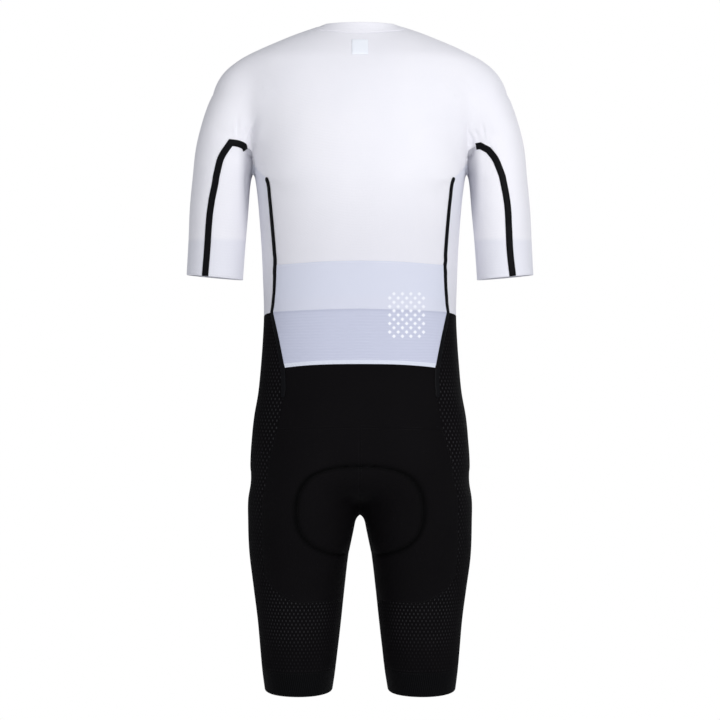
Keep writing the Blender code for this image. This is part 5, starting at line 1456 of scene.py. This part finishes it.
def front_column(k):
    """The points of a column of the front, from the collar's top to the zip's end."""
    return np.concatenate([COLLAR[:, k], FRONT_UPPER[1:, k], FRONT_LOWER[1 : zip_steps + 1, k]])[:, :3]


zip_edge, beside_edge = front_column(-1), front_column(-6)
zip_middle = zip_edge * [0, 1, 1] + [ZIP_HALF_GAP, 0, 0]
zip_middle[0, 0] = ZIP_TOP_HALF_GAP
across_front = beside_edge - zip_edge
across_front /= np.linalg.norm(across_front, axis=1, keepdims=True)
zip_far = zip_edge + (ZIP_TAPE_WIDTH - ZIP_OPENING) * across_front
zip_columns = [zip_middle, zip_middle * 0.8 + zip_edge * 0.2, (zip_middle + zip_edge) / 2]
zip_columns += [zip_edge, (zip_edge + zip_far) / 2, zip_far]
ZIP_CELLS = spread(np.stack(zip_columns, axis=1))


def zip_cloth():
    made, tree, along, down = new_cloth("zip_cloth", 0.8, 0.1, 0.25)
    twill = wave(tree, calc(tree, "ADD", along, down), 0.0013)
    colour = mixed(tree, ranged(tree, twill, -1, 1), (0.70, 0.70, 0.74), (0.80, 0.80, 0.84))
    return finished(made, colour, twill, 0.0001)


zip_heights = {"outer": ZIP_FACE, "inner": ZIP_FACE - ZIP_TAPE_THICK, "roll": 0.1}
zip_cut = Cut(0.0125, 0.5, 0.0062)
pair("zip_cloth", "zip_tape", "zip_cloth", zip_cut, [ZIP_CELLS], zip_cloth(), **zip_heights)


def clouded(name, roughness, low, high, scale, grain, depth, **looks):
    """A plain finish in soft patches of two tones, with a fine grain. The scales are to the metre."""
    made, tree = new_finish(name, roughness, **looks)
    return finished(made, mixed(tree, clouds(tree, scale), low, high), clouds(tree, grain), depth)


METAL_DULL, METAL_BRIGHT = (0.45, 0.46, 0.48), (0.62, 0.63, 0.65)
ZIP_METAL = clouded("zip_metal", 0.35, METAL_DULL, METAL_BRIGHT, 400, 1500, 0.00005, metallic=1.0)
for name in ("zip_slider", "zip_pull", "zip_stop"):
    zip_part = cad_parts[name]
    zip_part.data.materials.clear()
    zip_part.data.materials.append(ZIP_METAL)

# ---------------------------------------------------------------- zip teeth
# Small moulded teeth on the edges of the two zip tapes mesh in the middle. Each grips its tape from both
# faces and has a narrower head.

TOOTH_PITCH, TEETH_TOP, TEETH_BOTTOM = 1.5, -44.0, -513.0
TOOTH_OUTER, TOOTH_HEAD = 2.1, -0.28  # how far it reaches from the middle to its own side and to the other
TOOTH_HEIGHT, TOOTH_THICK, TOOTH_LEVEL = 1.9, 0.95, -1.9


def taken(shape):
    """The points and faces of a finished shape in millimetres, which is then taken away."""
    points = np.array([v.co for v in shape.data.vertices])
    faces = [list(polygon.vertices) for polygon in shape.data.polygons]
    bpy.data.objects.remove(shape)
    return points, faces


def tooth_shape():
    """One tooth: x to its side, y along the zip and z outward, with a narrower head."""
    bpy.ops.object.select_all(action="DESELECT")
    bpy.ops.mesh.primitive_cube_add(size=1, location=((TOOTH_OUTER + TOOTH_HEAD) / 2, 0, 0))
    tooth = bpy.context.object
    tooth.scale = (TOOTH_OUTER - TOOTH_HEAD, TOOTH_THICK, TOOTH_HEIGHT)
    bpy.ops.object.transform_apply(location=True, scale=True)
    bpy.ops.object.mode_set(mode="EDIT")
    bpy.ops.mesh.select_all(action="SELECT")
    bpy.ops.mesh.bisect(plane_co=((TOOTH_OUTER + TOOTH_HEAD) / 2, 0, 0), plane_no=(1, 0, 0))
    bpy.ops.object.mode_set(mode="OBJECT")
    for v in tooth.data.vertices:
        v.select = v.co.x < TOOTH_HEAD + 0.01
    bpy.ops.object.mode_set(mode="EDIT")
    bpy.ops.transform.resize(value=(1, 0.6, 0.65))
    bpy.ops.object.mode_set(mode="OBJECT")
    return taken(tooth)


def laid(name, shape, places, ahead, out, made_of):
    """Copies of a shape as one piece. Each lies with its x along ahead and its z along out."""
    points, faces = shape
    across = np.cross(out, ahead)
    copies = places[:, None] + sum(
        points[None, :, k, None] * way[:, None] for k, way in enumerate((ahead, across, out))
    )
    starts = range(0, len(places) * len(points), len(points))
    all_faces = [[v + start for v in face] for start in starts for face in faces]
    return new_piece(name, copies.reshape(-1, 3), all_faces, made_of)


TOOTH = tooth_shape()
TEETH_WHITE = clouded("zip_teeth", 0.4, (0.66, 0.66, 0.70), (0.78, 0.78, 0.82), 300, 2500, 0.00002)
zip_centre = zip_middle * [0, 1, 1]
for side, sign, start in (("left", 1, 0.0), ("right", -1, TOOTH_PITCH / 2)):
    heights = np.arange(TEETH_TOP - start, TEETH_BOTTOM, -TOOTH_PITCH)
    depths = np.interp(-heights, -zip_centre[:, 2], zip_centre[:, 1])
    on_form = onto_form(np.stack([0 * heights, depths, heights], axis=1))
    out = outward(on_form)
    seats = on_form + out * (TOOTH_LEVEL + folds(on_form))[:, None]
    ahead = np.tile([float(sign), 0, 0], (len(seats), 1))
    teeth = laid(f"zip_teeth_{side}", TOOTH, seats, ahead, out, TEETH_WHITE)
    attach(teeth, "suit")

# ---------------------------------------------------------------- stitching
# Twin rows of thread hold each seam flat, and single rows run along the zip and the pad's edge. The thread
# is white on the white knit and black on the black, and each stitch dips into the cloth at its ends.

STITCH_PITCH, STITCH_LONG, THREAD = 3.2, 2.6, 0.42
STITCH_DIP, STITCH_RISE = 0.22, THREAD * 0.2
PAD_ROW = 2.2  # from the pad's edge out to its stitches
BESIDE_SEAM, BESIDE_ZIP, CUFF_HEM, CUFF_TWIN = 1.8, 2.4, 11.0, 2.2
BESIDE_POCKET, BESIDE_HEM, ON_COLLAR = 2.0, 1.6, 0.15


def stitch_shape():
    bpy.ops.object.select_all(action="DESELECT")
    bpy.ops.mesh.primitive_ico_sphere_add(subdivisions=1, radius=1)
    stitch = bpy.context.object
    bpy.ops.object.mode_set(mode="EDIT")
    bpy.ops.mesh.select_all(action="SELECT")
    bpy.ops.transform.resize(value=(STITCH_LONG / 2, THREAD / 2, THREAD / 2))
    bpy.ops.object.mode_set(mode="OBJECT")
    for v in stitch.data.vertices:
        v.select = abs(v.co.x) > STITCH_LONG * 0.4
    bpy.ops.object.mode_set(mode="EDIT")
    bpy.ops.transform.translate(value=(0, 0, -STITCH_DIP))
    bpy.ops.object.mode_set(mode="OBJECT")
    return taken(stitch)


def stitched(way, gaps, lift=0.0):
    """Seats of stitches in rows beside a way on the form, at gaps to its left: places, directions and
    normals. The rows lie on the cloth, raised by lift."""
    seats = []
    for gap in gaps:
        ahead = np.gradient(way, axis=0)
        out = outward(way)
        aside = np.cross(out, ahead)
        aside /= np.linalg.norm(aside, axis=1, keepdims=True) + 1e-9
        row = onto_form(way + gap * aside)
        count = max(int(steps(row).sum() / STITCH_PITCH), 1)
        row = onto_form(evenly(row, (np.arange(count) + 0.5) / count), 2)
        ahead = np.gradient(row, axis=0) if count > 1 else np.tile(row[:1] * 0 + [1.0, 0, 0], (count, 1))
        out = outward(row)
        ahead -= out * (ahead * out).sum(axis=1, keepdims=True)
        ahead /= np.linalg.norm(ahead, axis=1, keepdims=True) + 1e-9
        rise = folds(row) + over_pad(row) + STITCH_RISE + lift
        seats.append(np.stack([row + out * rise[:, None], ahead, out]))
    return np.concatenate(seats, axis=1)


STITCH = stitch_shape()
TWIN = (-BESIDE_SEAM, BESIDE_SEAM)
RAGLAN = np.concatenate([RAGLAN_UPPER, RAGLAN_LOWER[1:]])
CUFF_EDGE = [*[run[::-1] for run in CUFF[::-1]], CUFF_UNDER]
POCKET_ROWS = [(BACK_UPPER_POCKET, BESIDE_POCKET), (BACK_TAIL, -BESIDE_POCKET)]
POCKET_ROWS += [(YOKE_EDGE, BESIDE_HEM), (YOKE_EDGE, -BESIDE_HEM)]
WHITE_ROWS = {
    "collar": [stitched(run, TWIN, ON_COLLAR) for run in NECK_SEAM],
    "raglan": [stitched(run, TWIN) for run in (RAGLAN, SLEEVE_FRONT)],
    "armpit": [stitched(UNDERARM_ROW, TWIN)],
    "cuff": [stitched(run, (CUFF_HEM, CUFF_HEM + CUFF_TWIN)) for run in CUFF_EDGE],
    "front_side": [stitched(np.concatenate([FRONT_SIDE_UPPER, FRONT_SIDE_POCKET[1:]]), TWIN)],
    "belt": [stitched(run, (-BESIDE_SEAM,)) for run in (BELT_ROW_SIDE, BELT_ROW_FRONT)],
    "zip_edge": [stitched(FRONT_UPPER[:, -1, :3], (BESIDE_ZIP,))],
    "pocket": [
        stitched(shortened(cells[:1], POCKET_MARGIN)[0, :, :3], (gap,), POCKET_FACE)
        for cells, gap in POCKET_ROWS
    ],
}


def edge_line(sheet):
    """The points round a sheet's one edge, in order."""
    following = dict(border(sheet.faces))
    start = at = next(iter(following))
    order = [start]
    while following[at] != start:
        at = following[at]
        order.append(at)
    return sheet.points[[*order, start]]


BLACK_ROWS = {
    "yoke": [stitched(YOKE_ROW_BACK, TWIN)],
    "centre": [stitched(CENTRE_BACK_SEAT, (BESIDE_SEAM,)), stitched(CENTRE_FRONT_SEAT, (-BESIDE_SEAM,))],
    "back_side": [stitched(run, TWIN) for run in (BACK_SIDE_SEAT, BACK_SIDE_THIGH)],
    "front_side": [
        stitched(run, TWIN) for run in (FRONT_SIDE_BELOW, FRONT_SIDE_SEAT, FRONT_SIDE_THIGH, FRONT_SIDE_KNEE)
    ],
    "inner_leg": [stitched(run, TWIN) for run in (INNER_LEG_UPPER, INNER_LEG_LOWER)],
    "seat_edge": [stitched(SEAT_EDGE_BACK, TWIN)],
    "belt": [stitched(run, (BESIDE_SEAM,)) for run in (BELT_ROW_SIDE, BELT_ROW_FRONT)],
    "leg_band": [stitched(run, TWIN) for run in BAND_ROW],
    "zip_edge": [stitched(CENTRE_FRONT_BELOW[:zip_steps], (BESIDE_ZIP,))],
}
thread_looks = {"scale": 700, "grain": 3000, "depth": 0.00003, "gloss": 0.2}
WHITE_THREAD = clouded("white_thread", 0.6, (0.78, 0.78, 0.83), (0.86, 0.86, 0.90), **thread_looks)
BLACK_THREAD = clouded("black_thread", 0.6, (0.002, 0.002, 0.0023), (0.007, 0.007, 0.008), **thread_looks)


def sew(colour, rows, made_of, both=True):
    for where, runs in rows.items():
        seats = np.concatenate(runs, axis=1)
        if both:
            seats = np.concatenate([seats, seats * [-1, 1, 1]], axis=1)
        stitches = laid(f"{colour}_stitches_{where}", STITCH, seats[0], seats[1], seats[2], made_of)
        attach(stitches, "suit")


sew("white", WHITE_ROWS, WHITE_THREAD)
sew("black", BLACK_ROWS, BLACK_THREAD)
sew("black", {"pad": [stitched(edge_line(pad_sheet), (PAD_ROW,))]}, BLACK_THREAD, both=False)

# ---------------------------------------------------------------- studio
# A plain pale floor, a white surround and large soft lights. The camera looks level at the back from the
# distance at which the sizes of the back are given.

FLOOR_HEIGHT = -1.45
bpy.ops.mesh.primitive_circle_add(vertices=96, radius=2.0, fill_type="NGON", location=(0, 0, FLOOR_HEIGHT))
floor = bpy.context.object
floor.name = "floor"
pale, pale_tree = new_finish("floor_pale", 0.8)
pale_tree.nodes["Principled BSDF"].inputs["Base Color"].default_value = (0.9, 0.9, 0.9, 1)
floor.data.materials.append(pale)

world = bpy.data.worlds.new("studio")
world.use_nodes = True
bpy.context.scene.world = world
sky = world.node_tree
seen, soft = sky.nodes["Background"], sky.nodes.new("ShaderNodeBackground")
seen.inputs["Color"].default_value = (1, 1, 1, 1)
seen.inputs["Strength"].default_value = 1.0
soft.inputs["Color"].default_value = (0.93, 0.955, 1.0, 1)
soft.inputs["Strength"].default_value = 0.42
rays, chosen = sky.nodes.new("ShaderNodeLightPath"), sky.nodes.new("ShaderNodeMixShader")
sky.links.new(rays.outputs["Is Camera Ray"], chosen.inputs[0])
sky.links.new(soft.outputs[0], chosen.inputs[1])
sky.links.new(seen.outputs[0], chosen.inputs[2])
sky.links.new(chosen.outputs[0], sky.nodes["World Output"].inputs[0])


def soft_light(name, place, aim, size, power):
    light = bpy.data.lights.new(name, "AREA")
    light.shape = "DISK"
    light.size = size
    light.energy = power
    lamp = bpy.data.objects.new(name, light)
    lamp.location = place
    lamp.rotation_euler = (Vector(aim) - Vector(place)).to_track_quat("-Z", "Y").to_euler()
    bpy.context.scene.collection.objects.link(lamp)


MIDDLE, SHOULDERS = (0, 0, -0.4), (0, 0, -0.2)
soft_light("key", (-1.15, 2.0, 0.35), SHOULDERS, 1.5, 33)
soft_light("fill", (1.7, 2.5, 0.1), MIDDLE, 2.2, 18)
soft_light("front", (-1.2, -3.4, 0.8), MIDDLE, 2.4, 46)

bpy.context.scene.view_settings.view_transform = "Standard"
lens = bpy.data.cameras.new("camera")
lens.sensor_width = 36
lens.lens = 150
camera = bpy.data.objects.new("camera", lens)
camera.location = (0, VIEW_DISTANCE * MM, VIEW_HEIGHT * MM)
camera.rotation_euler = (math.radians(90), 0, math.radians(180))
bpy.context.scene.collection.objects.link(camera)
bpy.context.scene.camera = camera
